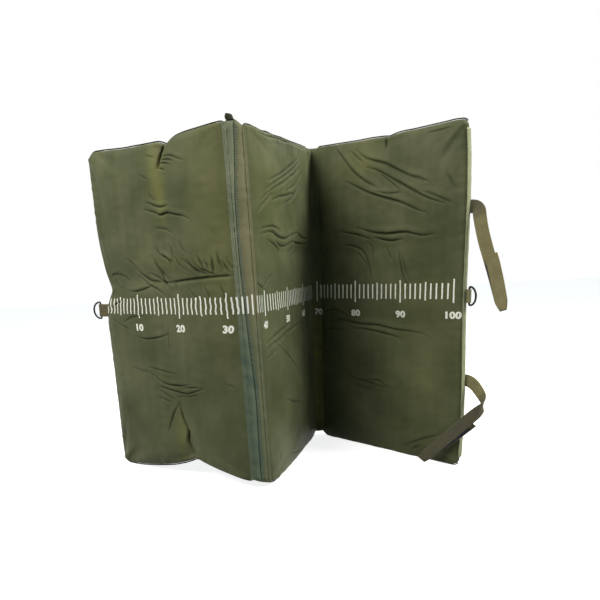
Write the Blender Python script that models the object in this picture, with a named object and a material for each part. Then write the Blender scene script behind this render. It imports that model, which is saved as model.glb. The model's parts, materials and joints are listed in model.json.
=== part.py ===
"""A three-panel folding unhooking mat, standing on its long edge in a zigzag.

Three padded panels hang together by two sewn fold strips. Each strip bends along both its edges,
so the first fold closes the backs of two panels together and the second closes two fronts.
Each end carries a D-ring in a webbing loop, and the right end also carries two closing straps.
Metres, +Z up. +X runs from the left end to the right end as seen from the front, and +Y runs to
the back. The origin is the middle of the middle panel's foot.
"""

from math import cos, exp, hypot, pi, radians, sin

import bmesh
import bpy
from mathutils import Vector

# The mat as a whole
MAT_HEIGHT = 0.600
PANEL_LENGTH = 0.325
STRIP_WIDTH = 0.028
RING_HEIGHT = 0.310
STRAP_SPACING = 0.300

# How the mat stands: the middle panel's heading, and what each fold turns away from flat
MIDDLE_HEADING = radians(67.2)
FOLD_1_TURN = radians(104.2)
FOLD_2_TURN = radians(115.6)

# Padded panels
SIDE_THICKNESS = 0.020
CROWN_HEIGHT = 0.0025
EDGE_RADIUS = 0.006
CLOTH = 0.0008
LAYER_GAP = 0.0003
SEAM_SETBACK = 0.003
SEAM_FLANGE = 0.0032
TOP_DRAW = 0.004
END_DRAW = 0.003
CORNER_CUT = 0.005
CORNER_CUT_SHARE = 0.06
PINCH_DEPTH = 0.017
PINCH_HEIGHT = 0.100
PINCH_SHARES = ((0, 0), (0.13, 0.03), (0.24, 0.5), (0.36, 1), (0.52, 0.62), (0.75, 0.22), (1, 0))
BEND_LIFT = 0.030
BEND_DROP = 0.008
BEND_AT_SHARE = 0.61
BEND_WIDTH_SHARE = 0.28
LENGTH_SHARES = (0, 0.04, 0.14, 0.30, 0.46, 0.61, 0.74, 0.87, 0.96, 1)
HEIGHT_SHARES = (0, 0.06, 0.15, 0.27, 0.37, 0.45, 0.60, 0.69, 0.78, 0.87, 0.94, 1)

# Fold strips
STRIP_RISE = 0.012
STRIP_DROP = 0.006
STRIP_BULGE = 0.0011
STRIP_BULGE_SHARES = ((0, 0), (0.22, 0.9), (0.42, 0.8), (0.5, 0.1), (0.58, 0.8), (0.78, 0.9), (1, 0))

# D-rings and their webbing loops
RING_WIRE = 0.0036
RING_TALL = 0.0316
RING_DEEP = 0.0200
RING_CORNER = 0.0030
RING_CLEARANCE = 0.0003
LOOP_WEBBING = 0.0013
LOOP_WIDTH = 0.024
LOOP_LAYERS_APART = 0.0004
LEFT_LOOP_REACH = 0.0230
RIGHT_LOOP_REACH = 0.0056
LEFT_RING_SWING = radians(2)
RIGHT_RING_SWING = radians(-31)

# Closing straps: webbing with a hook patch and a loop patch
STRAP_WIDTH = 0.025
STRAP_WEBBING = 0.0014
STRAP_HINGE_OUT = 0.0013
STRAP_TUCK = 0.0005
PATCH_THICKNESS = 0.0010
PATCH_WIDTH = 0.0215

STRAP_EYE = 0.0082
UPPER_STRAP_SWING = radians(12)
UPPER_STRAP_OUT = 0.0025
UPPER_STRAP_TURN_RADIUS = 0.0135
UPPER_STRAP_TURN = radians(82)
UPPER_STRAP_HANG = 0.072
UPPER_STRAP_SPREAD = radians(9)
UPPER_STRAP_LAP = 0.084
UPPER_STRAP_SLIP = 0.002
LOWER_STRAP_REACH = 0.042
LOWER_STRAP_FORWARD = 0.050
LOWER_STRAP_DROP = 0.143
LOWER_STRAP_EASE = 0.022
LOWER_STRAP_SLIP = 0.009
LOWER_STRAP_SHARES = (
    (0.45, -0.01),
    (0.85, 0.08),
    (1, 0.27),
    (0.84, 0.45),
    (0.34, 0.587),
    (-0.16, 0.725),
    (-0.66, 0.862),
    (-1.16, 1),
)

HALF_THICKNESS = SIDE_THICKNESS / 2
HALF_GAP = LAYER_GAP / 2
DIAGONAL_SHARE = 0.5**0.5
FLAT_HEIGHT = MAT_HEIGHT - 2 * EDGE_RADIUS

OLIVE_NYLON = ("olive_coated_nylon", (0.070, 0.074, 0.034), 0.55, 0.0)
BACK_NYLON = ("dark_olive_nylon", (0.045, 0.048, 0.026), 0.65, 0.0)
GREY_GREEN_NYLON = ("grey_green_nylon", (0.090, 0.098, 0.062), 0.60, 0.0)
PALE_FOAM = ("closed_cell_foam", (0.55, 0.56, 0.54), 0.90, 0.0)
OLIVE_WEBBING = ("olive_webbing", (0.150, 0.135, 0.060), 0.85, 0.0)
TAN_WEBBING = ("tan_webbing", (0.270, 0.240, 0.120), 0.85, 0.0)
DARK_TAPE = ("dark_hook_and_loop_tape", (0.020, 0.018, 0.026), 0.95, 0.0)
BLACK_WIRE = ("black_lacquered_wire", (0.012, 0.012, 0.013), 0.35, 0.2)


def clear_scene():
    for obj in list(bpy.data.objects):
        bpy.data.objects.remove(obj, do_unlink=True)


def finish_of(described):
    name, colour, roughness, metallic = described
    found = bpy.data.materials.get(name)
    if found:
        return found
    made = bpy.data.materials.new(name)
    made.use_nodes = True
    shader = made.node_tree.nodes["Principled BSDF"]
    shader.inputs["Base Color"].default_value = (*colour, 1)
    shader.inputs["Roughness"].default_value = roughness
    shader.inputs["Metallic"].default_value = metallic
    made.diffuse_color = (*colour, 1)
    return made


def axis_empty(name, parent, place, turn):
    """A frame on a joint's axis: what hangs on it turns about its own Z."""
    empty = bpy.data.objects.new(name, None)
    empty.empty_display_size = STRIP_WIDTH
    empty.location = place
    empty.rotation_euler = (0, 0, turn)
    empty.parent = parent
    bpy.context.collection.objects.link(empty)
    return empty


def add_piece(name, data, frame, finish):
    obj = bpy.data.objects.new(name, data)
    obj.parent = frame
    data.materials.append(finish_of(finish))
    bpy.context.collection.objects.link(obj)
    return obj


def mesh_of(name, points, faces):
    """A closed mesh with its faces pointing out and smooth shading over the rounded parts."""
    work = bmesh.new()
    corners = [work.verts.new(point) for point in points]
    for face in faces:
        work.faces.new([corners[i] for i in face])
    bmesh.ops.recalc_face_normals(work, faces=work.faces)
    mesh = bpy.data.meshes.new(name)
    work.to_mesh(mesh)
    work.free()
    mesh.shade_smooth()
    mesh.set_sharp_from_angle(angle=radians(40))
    return mesh


def sheet_mesh(name, faces, outer, inner):
    """A sheet with a thickness: its outer skin, its inner skin, and a wall along each open edge."""
    shift = len(outer)
    open_edges = {}
    for face in faces:
        for here, there in zip(face, face[1:] + face[:1]):
            if (there, here) in open_edges:
                del open_edges[(there, here)]
            else:
                open_edges[(here, there)] = True
    under = [tuple(i + shift for i in reversed(face)) for face in faces]
    walls = [(there, here, here + shift, there + shift) for here, there in open_edges]
    return mesh_of(name, outer + inner, list(faces) + under + walls)


# Padded panels

def bell(place, centre, reach):
    return exp(-(((place - centre) / reach) ** 2))


def between_shares(shares, place):
    """What the pairs of shares give at a place, in a straight line from each pair to the next."""
    for (low, first), (high, second) in zip(shares, shares[1:]):
        if low <= place <= high:
            return first + (second - first) * (place - low) / (high - low)
    return 0


def corner_cut(share):
    near = max(0, 1 - share / CORNER_CUT_SHARE) ** 2
    far = max(0, 1 - (1 - share) / CORNER_CUT_SHARE) ** 2
    return CORNER_CUT * (near + far)


class Pad:
    """One padded panel between x = start and x = end, in its own frame, with its face towards -Y.

    Which ends are folds, and which end is drawn in by a ring, come with it.
    """

    def __init__(self, start, end, fold_at_start, fold_at_end, pinched=False, bent=False):
        self.start = start
        self.end = end
        self.folds = (fold_at_start, fold_at_end)
        self.pinched = pinched
        self.bent = bent
        strip_ends = (STRIP_RISE, MAT_HEIGHT - STRIP_DROP)
        rows = [RING_HEIGHT, *strip_ends, *(EDGE_RADIUS + up * FLAT_HEIGHT for up in HEIGHT_SHARES)]
        if pinched:
            rows = [z for z in rows if not RING_HEIGHT <= z <= RING_HEIGHT + PINCH_HEIGHT]
            rows += [RING_HEIGHT + share * PINCH_HEIGHT for share, _ in PINCH_SHARES]
        self.heights = sorted((z - EDGE_RADIUS) / FLAT_HEIGHT for z in rows)
        self.perimeter = self.walk()

    def end_draw(self, which, up):
        """How far an end is drawn in at a share of the height. A fold's end stays straight."""
        if self.folds[which]:
            return SEAM_FLANGE
        drawn = END_DRAW * (1 - (2 * up - 1) ** 2) + corner_cut(up)
        if self.pinched:
            above = EDGE_RADIUS + up * FLAT_HEIGHT - RING_HEIGHT
            drawn += PINCH_DEPTH * between_shares(PINCH_SHARES, above / PINCH_HEIGHT)
        return drawn

    def edge_draw(self, top, along):
        """How far the top or the foot is drawn in at a share of the length."""
        away = bell(along, BEND_AT_SHARE, BEND_WIDTH_SHARE) * (1 - (2 * along - 1) ** 4)
        bend = away if self.bent else 0
        if top:
            return TOP_DRAW * (1 - (2 * along - 1) ** 2) + corner_cut(along) + BEND_DROP * bend
        return corner_cut(along) * DIAGONAL_SHARE + BEND_LIFT * bend

    def base_point(self, along, up):
        """A point of the flat of the face, in x and z, a rounding's radius inside the outline."""
        left = self.start + self.end_draw(0, up) + EDGE_RADIUS
        right = self.end - self.end_draw(1, up) - EDGE_RADIUS
        low = EDGE_RADIUS + self.edge_draw(False, along)
        high = MAT_HEIGHT - EDGE_RADIUS - self.edge_draw(True, along)
        return left + along * (right - left), low + up * (high - low)

    def crown(self, along, up):
        return CROWN_HEIGHT * (1 - (2 * along - 1) ** 4) * (1 - (2 * up - 1) ** 6)

    def walk(self):
        """The outline's stations: (column, row, outward x, outward z, fold end or None)."""
        last_column = len(LENGTH_SHARES) - 1
        last_row = len(self.heights) - 1
        left, right, down, up = (-1, 0), (1, 0), (0, -1), (0, 1)
        stations = []

        def corner(column, row, first, second):
            between = ((first[0] + second[0]) * DIAGONAL_SHARE, (first[1] + second[1]) * DIAGONAL_SHARE)
            stations.extend((column, row, *way, None) for way in (first, between, second))

        corner(0, 0, left, down)
        stations.extend((column, 0, *down, None) for column in range(1, last_column))
        corner(last_column, 0, down, right)
        fold = 1 if self.folds[1] else None
        stations.extend((last_column, row, *right, fold) for row in range(1, last_row))
        corner(last_column, last_row, right, up)
        stations.extend((column, last_row, *up, None) for column in range(last_column - 1, 0, -1))
        corner(0, last_row, up, left)
        fold = 0 if self.folds[0] else None
        stations.extend((0, row, *left, fold) for row in range(last_row - 1, 0, -1))
        return stations

    def face_grid(self, depth):
        """The face's points row by row, at a depth from the mid-plane that its crown adds to."""
        grid = []
        for up in self.heights:
            for along in LENGTH_SHARES:
                x, z = self.base_point(along, up)
                grid.append((x, depth + self.crown(along, up), z))
        return grid

    def rounding_ring(self, depth, radius, turn):
        """The outline at one angle of its rounded edge, for a skin of this radius."""
        ring = []
        for column, row, out_x, out_z, _ in self.perimeter:
            x, z = self.base_point(LENGTH_SHARES[column], self.heights[row])
            out = radius * sin(turn)
            ring.append((x + out * out_x, depth + radius * cos(turn), z + out * out_z))
        return ring

    def rim_ring(self, outline, free_depth, fold_depth):
        """The outline carried straight to the rim: at the seam, or at the mid-plane on a fold."""
        rim = []
        for (x, _, z), station in zip(outline, self.perimeter):
            depth = free_depth if station[4] is None else fold_depth
            rim.append((x, depth, z))
        return rim

    def face_faces(self):
        columns = len(LENGTH_SHARES)
        faces = []
        for row in range(len(self.heights) - 1):
            for column in range(columns - 1):
                low = row * columns + column
                faces.append((low, low + 1, low + columns + 1, low + columns))
        return faces

    def collar_faces(self, grid_start, ring_start):
        """Faces from the grid's border to the first ring, with a fan at each corner."""
        count = len(self.perimeter)
        columns = len(LENGTH_SHARES)
        faces = []
        for i, (column, row, *_) in enumerate(self.perimeter):
            after = (i + 1) % count
            here = grid_start + row * columns + column
            there = grid_start + self.perimeter[after][1] * columns + self.perimeter[after][0]
            if here == there:
                faces.append((here, ring_start + i, ring_start + after))
            else:
                faces.append((here, ring_start + i, ring_start + after, there))
        return faces

    def ring_faces(self, first, second):
        count = len(self.perimeter)
        return [(first + i, second + i, second + (i + 1) % count, first + (i + 1) % count) for i in range(count)]

    def skin(self, radius, free_rim, fold_rim):
        """One side's skin as points: grid, two rounding rings and the rim. Depth grows outwards."""
        core = HALF_THICKNESS - EDGE_RADIUS
        points = self.face_grid(core + radius)
        points += self.rounding_ring(core, radius, pi / 4)
        outline = self.rounding_ring(core, radius, pi / 2)
        return points + outline + self.rim_ring(outline, free_rim, fold_rim)

    def flange_points(self, fold, depth):
        """The sewn edge's outer line, mitred so that a strip can turn a right angle against it."""
        hinge_x = self.end if fold else self.start
        inward = -1 if fold else 1
        mitre = HALF_GAP + depth
        line = []
        for column, row, _, _, at in self.perimeter:
            if at == fold:
                _, z = self.base_point(LENGTH_SHARES[column], self.heights[row])
                line.append((hinge_x + inward * mitre, depth, z))
        return line

    def cover(self, name, side, free_rim):
        """A cloth tray over one face: side is -1 for the front and 1 for the back."""
        outer = self.skin(EDGE_RADIUS, free_rim, HALF_GAP + CLOTH)
        inner = self.skin(EDGE_RADIUS - CLOTH, free_rim, HALF_GAP)
        grid = len(self.heights) * len(LENGTH_SHARES)
        count = len(self.perimeter)
        rings = [grid, grid + count, grid + 2 * count]
        faces = self.face_faces() + self.collar_faces(0, rings[0])
        faces += self.ring_faces(rings[0], rings[1]) + self.ring_faces(rings[1], rings[2])
        for fold in (0, 1):
            if not self.folds[fold]:
                continue
            stations = [i for i, station in enumerate(self.perimeter) if station[4] == fold]
            edge = len(outer)
            outer += self.flange_points(fold, HALF_GAP + CLOTH)
            inner += self.flange_points(fold, HALF_GAP)
            for k in range(len(stations) - 1):
                here = rings[2] + stations[k]
                there = rings[2] + stations[k + 1]
                faces.append((here, edge + k, edge + k + 1, there))
        outer = [(x, side * depth, z) for x, depth, z in outer]
        inner = [(x, side * depth, z) for x, depth, z in inner]
        return sheet_mesh(name, faces, outer, inner)

    def foam(self, name):
        """The foam slab: the covers' inner shape, less a clearance."""
        radius = EDGE_RADIUS - CLOTH - LAYER_GAP
        core = HALF_THICKNESS - EDGE_RADIUS
        grid = len(self.heights) * len(LENGTH_SHARES)
        count = len(self.perimeter)
        half = self.face_grid(core + radius)
        half += self.rounding_ring(core, radius, pi / 4)
        half += self.rounding_ring(core, radius, pi / 2)
        rings = [grid, grid + count]
        faces = self.face_faces() + self.collar_faces(0, rings[0]) + self.ring_faces(*rings)
        shift = len(half)
        back = [tuple(i + shift for i in reversed(face)) for face in faces]
        sides = self.ring_faces(rings[1], rings[1] + shift)
        points = [(x, -depth, z) for x, depth, z in half] + list(half)
        return mesh_of(name, points, faces + back + sides)

    def end_wall(self, which, height):
        """Where the end's outer surface is at a height."""
        up = (height - EDGE_RADIUS) / FLAT_HEIGHT
        drawn = self.end_draw(which, up)
        return self.end - drawn if which else self.start + drawn


def make_panel(number, pad, frame):
    front = f"panel_{number}_front_cover"
    back = f"panel_{number}_back_cover"
    foam = f"panel_{number}_foam"
    add_piece(front, pad.cover(front, -1, -SEAM_SETBACK), frame, OLIVE_NYLON)
    add_piece(back, pad.cover(back, 1, SEAM_SETBACK + LAYER_GAP), frame, BACK_NYLON)
    add_piece(foam, pad.foam(foam), frame, PALE_FOAM)


# Fold strips

def make_strip(number, frame, outward):
    """Two layers of cloth, sewn together down the middle, that bulge a little beside the stitches."""
    for layer, side, finish in (("front", -1, GREY_GREEN_NYLON), ("back", 1, BACK_NYLON)):
        name = f"fold_strip_{number}_{layer}"
        skins = []
        for depth in (HALF_GAP + CLOTH, HALF_GAP):
            margin = HALF_GAP + depth
            points = []
            for z in (STRIP_RISE, MAT_HEIGHT - STRIP_DROP):
                for across, swell in STRIP_BULGE_SHARES:
                    x = margin + across * (STRIP_WIDTH - 2 * margin)
                    points.append((outward * x, side * (depth + swell * STRIP_BULGE), z))
            skins.append(points)
        columns = len(STRIP_BULGE_SHARES)
        faces = [(i, i + 1, i + 1 + columns, i + columns) for i in range(columns - 1)]
        add_piece(name, sheet_mesh(name, faces, *skins), frame, finish)


# Webbing

def band_frames(path, widths):
    """The band's centre, its width direction and its normal at each point of a path."""
    frames = []
    for i, (point, across) in enumerate(zip(path, widths)):
        before = path[max(i - 1, 0)]
        after = path[min(i + 1, len(path) - 1)]
        along = (after - before).normalized()
        level = (across - along * across.dot(along)).normalized()
        frames.append((point, level, along.cross(level)))
    return frames


def webbing(name, frames, width, thickness, lift=0):
    """A flat band through the frames, lifted off their centres by an offset."""
    outer = []
    inner = []
    for point, across, normal in frames:
        for hand in (-1, 1):
            edge = point + across * (hand * width / 2) + normal * lift
            outer.append(edge + normal * (thickness / 2))
            inner.append(edge - normal * (thickness / 2))
    faces = [(2 * i, 2 * i + 1, 2 * i + 3, 2 * i + 2) for i in range(len(frames) - 1)]
    return sheet_mesh(name, faces, outer, inner)


def run_lengths(path):
    """How far along the path each of its points is."""
    runs = [0]
    for here, there in zip(path, path[1:]):
        runs.append(runs[-1] + (there - here).length)
    return runs


def smooth_route(points, steps):
    """A Catmull-Rom curve through the points."""
    ends = [2 * points[0] - points[1], *points, 2 * points[-1] - points[-2]]
    curve = []
    for i in range(1, len(ends) - 2):
        a, b, c, d = ends[i - 1 : i + 3]
        for k in range(steps):
            t = k / steps
            curve.append(
                0.5 * (2 * b + (c - a) * t + (2 * a - 5 * b + 4 * c - d) * t**2 + (3 * b - a - 3 * c + d) * t**3)
            )
    return [*curve, points[-1]]


def make_ring_loop(name, frame, reach):
    """Webbing folded round the ring's bar. The frame's origin is on the bar, its +X outwards."""
    eye = RING_WIRE / 2 + RING_CLEARANCE + LOOP_WEBBING / 2
    root = (LOOP_WEBBING + LOOP_LAYERS_APART) / 2
    start = reach - LAYER_GAP
    lean = (eye - root) / hypot(start, eye - root)
    wrap = [pi / 2 + lean - (pi + 2 * lean) * k / 8 for k in range(9)]
    path = [Vector((-start, root, 0))]
    path += [Vector((eye * cos(turn), eye * sin(turn), 0)) for turn in wrap]
    path.append(Vector((-start, -root, 0)))
    upright = [Vector((0, 0, 1))] * len(path)
    frames = band_frames(path, upright)
    add_piece(name, webbing(name, frames, LOOP_WIDTH, LOOP_WEBBING), frame, OLIVE_WEBBING)


def make_ring(name, frame):
    """A wire D: a straight bar on the frame's Z, two small corners and an elliptic bow."""
    half = RING_TALL / 2
    outline = []
    for k in range(5):
        turn = pi + pi / 2 * k / 4
        outline.append((RING_CORNER * (1 + cos(turn)), -half + RING_CORNER * (1 + sin(turn))))
    for k in range(1, 12):
        turn = -pi / 2 + pi * k / 12
        outline.append((RING_CORNER + (RING_DEEP - RING_CORNER) * cos(turn), half * sin(turn)))
    for k in range(5):
        turn = pi / 2 + pi / 2 * k / 4
        outline.append((RING_CORNER * (1 + cos(turn)), half - RING_CORNER * (1 - sin(turn))))
    curve = bpy.data.curves.new(name, "CURVE")
    curve.dimensions = "3D"
    curve.bevel_depth = RING_WIRE / 2
    curve.bevel_resolution = 2
    spline = curve.splines.new("POLY")
    spline.points.add(len(outline) - 1)
    for point, (x, z) in zip(spline.points, outline):
        point.co = (x, 0, z, 1)
    spline.use_cyclic_u = True
    add_piece(name, curve, frame, BLACK_WIRE)


def fold_back(path, widths, steps, slip):
    """Carries a strap round an eye at its tip and back over its last steps, slipping sideways."""
    frames = band_frames(path, widths)
    tip, across, normal = frames[-1]
    along = across.cross(normal)
    stack = STRAP_WEBBING + 2 * PATCH_THICKNESS + 3 * LAYER_GAP
    for k in range(1, 8):
        turn = pi * k / 8
        swell = (STRAP_EYE - stack) / 4 * sin(turn) * sin(2 * turn)
        depth = stack / 2 * (1 - cos(turn)) - swell
        path.append(tip + along * (STRAP_EYE * sin(turn)) + normal * depth)
        widths.append(across)
    for k in range(steps + 1):
        point, level, side = frames[-1 - k]
        path.append(point + side * stack - level * (slip * sin(pi / 2 * k / steps)))
        widths.append(level)


def make_strap(name, frame, path, widths, steps):
    """The webbing of a closing strap, and a patch on each of the layers that lie together."""
    frames = band_frames(path, widths)
    add_piece(name, webbing(name, frames, STRAP_WIDTH, STRAP_WEBBING), frame, TAN_WEBBING)
    lift = (STRAP_WEBBING + PATCH_THICKNESS) / 2 + LAYER_GAP
    back = len(frames) - steps
    tip = back - 9
    for kind, first, last in (("loop", tip - steps + 1, tip - 1), ("hook", back, len(frames) - 2)):
        patch = f"{name}_{kind}_patch"
        band = webbing(patch, frames[first : last + 1], PATCH_WIDTH, PATCH_THICKNESS, lift)
        add_piece(patch, band, frame, DARK_TAPE)


def make_upper_strap(frame):
    """Hangs from the end of the mat, its end folded back up in front and held by its patches.

    In the frame, +X is outwards, +Z is up and -Y is the side that the end is folded to.
    """
    path = [Vector((-STRAP_TUCK, 0, 0)), Vector((UPPER_STRAP_OUT, 0, 0))]
    widths = [Vector((0, 0, 1))] * 2
    for k in range(1, 9):
        turn = UPPER_STRAP_TURN * k / 8
        out = UPPER_STRAP_OUT + UPPER_STRAP_TURN_RADIUS * sin(turn)
        path.append(Vector((out, 0, -UPPER_STRAP_TURN_RADIUS * (1 - cos(turn)))))
        widths.append(Vector((sin(turn), 0, cos(turn))))
    steps = 6
    for length, spread in ((UPPER_STRAP_HANG, UPPER_STRAP_SPREAD), (UPPER_STRAP_LAP, 0)):
        for k in range(steps):
            turn -= spread / steps
            path.append(path[-1] + Vector((cos(turn), 0, -sin(turn))) * (length / steps))
            widths.append(Vector((sin(turn), 0, cos(turn))))
    fold_back(path, widths, steps, UPPER_STRAP_SLIP)
    make_strap("upper_strap", frame, path, widths, steps)


def make_lower_strap(frame):
    """Swings out and back round in front of the mat's corner, falling steadily to the ground.

    In the frame, +X is outwards, -Y is to the front, and the origin is on the strap's hinge.
    """
    plan = [Vector((STRAP_TUCK, 0, 0))]
    for out, forward in LOWER_STRAP_SHARES:
        plan.append(Vector((out * LOWER_STRAP_REACH, -forward * LOWER_STRAP_FORWARD, 0)))
    path = smooth_route(plan, 3)
    runs = run_lengths(path)
    fall = LOWER_STRAP_DROP / (runs[-1] - LOWER_STRAP_EASE / 2)
    for point, run in zip(path, runs):
        eased = run**2 / (2 * LOWER_STRAP_EASE) if run < LOWER_STRAP_EASE else run - LOWER_STRAP_EASE / 2
        point.z = -fall * eased
    path.insert(0, Vector((-STRAP_TUCK, 0, 0)))
    widths = [Vector((0, 0, 1))] * len(path)
    steps = 10
    fold_back(path, widths, steps, LOWER_STRAP_SLIP)
    make_strap("lower_strap", frame, path, widths, steps)


def ring_and_loop(side, panel_frame, wall_x, outward, reach, swing):
    """A D-ring on the end of a panel, in the loop that is sewn into its seam."""
    facing = 0 if outward > 0 else pi
    place = (wall_x + outward * reach, SEAM_SETBACK, RING_HEIGHT)
    seat = axis_empty(f"ring_seat_{side}", panel_frame, place, facing)
    make_ring_loop(f"ring_loop_{side}", seat, reach)
    axis = axis_empty(f"ring_axis_{side}", seat, (0, 0, 0), swing)
    make_ring(f"d_ring_{side}", axis)


def main():
    clear_scene()
    half = PANEL_LENGTH / 2
    middle = axis_empty("middle_frame", None, (0, 0, 0), MIDDLE_HEADING)
    strip_1 = axis_empty("fold_1_inner_axis", middle, (-half, 0, 0), -FOLD_1_TURN / 2)
    panel_1 = axis_empty("fold_1_outer_axis", strip_1, (-STRIP_WIDTH, 0, 0), -FOLD_1_TURN / 2)
    strip_2 = axis_empty("fold_2_inner_axis", middle, (half, 0, 0), -FOLD_2_TURN / 2)
    panel_3 = axis_empty("fold_2_outer_axis", strip_2, (STRIP_WIDTH, 0, 0), -FOLD_2_TURN / 2)

    left_pad = Pad(-PANEL_LENGTH, 0, False, True, pinched=True, bent=True)
    middle_pad = Pad(-half, half, True, True)
    right_pad = Pad(0, PANEL_LENGTH, True, False)
    make_panel(1, left_pad, panel_1)
    make_panel(2, middle_pad, middle)
    make_panel(3, right_pad, panel_3)
    make_strip(1, strip_1, -1)
    make_strip(2, strip_2, 1)

    left_wall = left_pad.end_wall(0, RING_HEIGHT)
    right_wall = right_pad.end_wall(1, RING_HEIGHT)
    ring_and_loop("left", panel_1, left_wall, -1, LEFT_LOOP_REACH, LEFT_RING_SWING)
    ring_and_loop("right", panel_3, right_wall, 1, RIGHT_LOOP_REACH, RIGHT_RING_SWING)

    upper_height = RING_HEIGHT + STRAP_SPACING / 2
    lower_height = RING_HEIGHT - STRAP_SPACING / 2
    upper_x = right_pad.end_wall(1, upper_height) + STRAP_HINGE_OUT
    lower_x = right_pad.end_wall(1, lower_height) + STRAP_HINGE_OUT
    upper = axis_empty("upper_strap_axis", panel_3, (upper_x, SEAM_SETBACK, upper_height), UPPER_STRAP_SWING)
    lower = axis_empty("lower_strap_axis", panel_3, (lower_x, SEAM_SETBACK, lower_height), 0)
    make_upper_strap(upper)
    make_lower_strap(lower)
    bpy.context.view_layer.update()


main()
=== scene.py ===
"""Looks of a padded folding unhooking mat that stands in a zigzag on its long edge."""

import json
from math import atan2, cos, hypot, pi, radians, sin

import bmesh
import bpy
import numpy as np
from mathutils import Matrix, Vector
from mathutils.bvhtree import BVHTree


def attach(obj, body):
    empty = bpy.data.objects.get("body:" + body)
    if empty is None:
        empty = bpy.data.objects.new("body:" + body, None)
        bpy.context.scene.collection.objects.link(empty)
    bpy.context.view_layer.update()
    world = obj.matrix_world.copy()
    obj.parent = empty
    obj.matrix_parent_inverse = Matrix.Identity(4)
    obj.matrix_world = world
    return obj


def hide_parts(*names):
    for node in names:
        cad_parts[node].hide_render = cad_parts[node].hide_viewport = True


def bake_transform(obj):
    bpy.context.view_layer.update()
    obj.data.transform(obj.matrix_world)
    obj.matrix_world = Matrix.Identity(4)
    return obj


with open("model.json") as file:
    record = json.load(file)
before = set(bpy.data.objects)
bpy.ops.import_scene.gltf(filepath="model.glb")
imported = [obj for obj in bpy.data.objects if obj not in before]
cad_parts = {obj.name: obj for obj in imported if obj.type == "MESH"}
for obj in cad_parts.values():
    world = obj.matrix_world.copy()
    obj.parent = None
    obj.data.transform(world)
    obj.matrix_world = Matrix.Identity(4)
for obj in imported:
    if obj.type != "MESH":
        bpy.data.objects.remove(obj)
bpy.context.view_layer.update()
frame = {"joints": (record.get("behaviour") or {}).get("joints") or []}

MM = 0.001

# The mat, as the CAD has it
MAT_HEIGHT = 0.600
PANEL_LENGTH = 0.325
STRIP_WIDTH = 0.028
HALF_THICKNESS = 0.010
EDGE_RADIUS = 0.006
RULER_HEIGHT = 0.3196

# How far the soft ridge leans sideways, at its foot and at its top
LEAN_FOOT = 0.0085
LEAN_TOP = -0.0095
VALLEY_LEAN = -0.004
# How far the feet of the two outer ends stand out of line, as (x, y), and up to what height
LEFT_FOOT_OUT = (0.006, 0.0)
RIGHT_FOOT_OUT = (-0.003, -0.009)
FOOT_OUT_TO = 0.30

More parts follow.
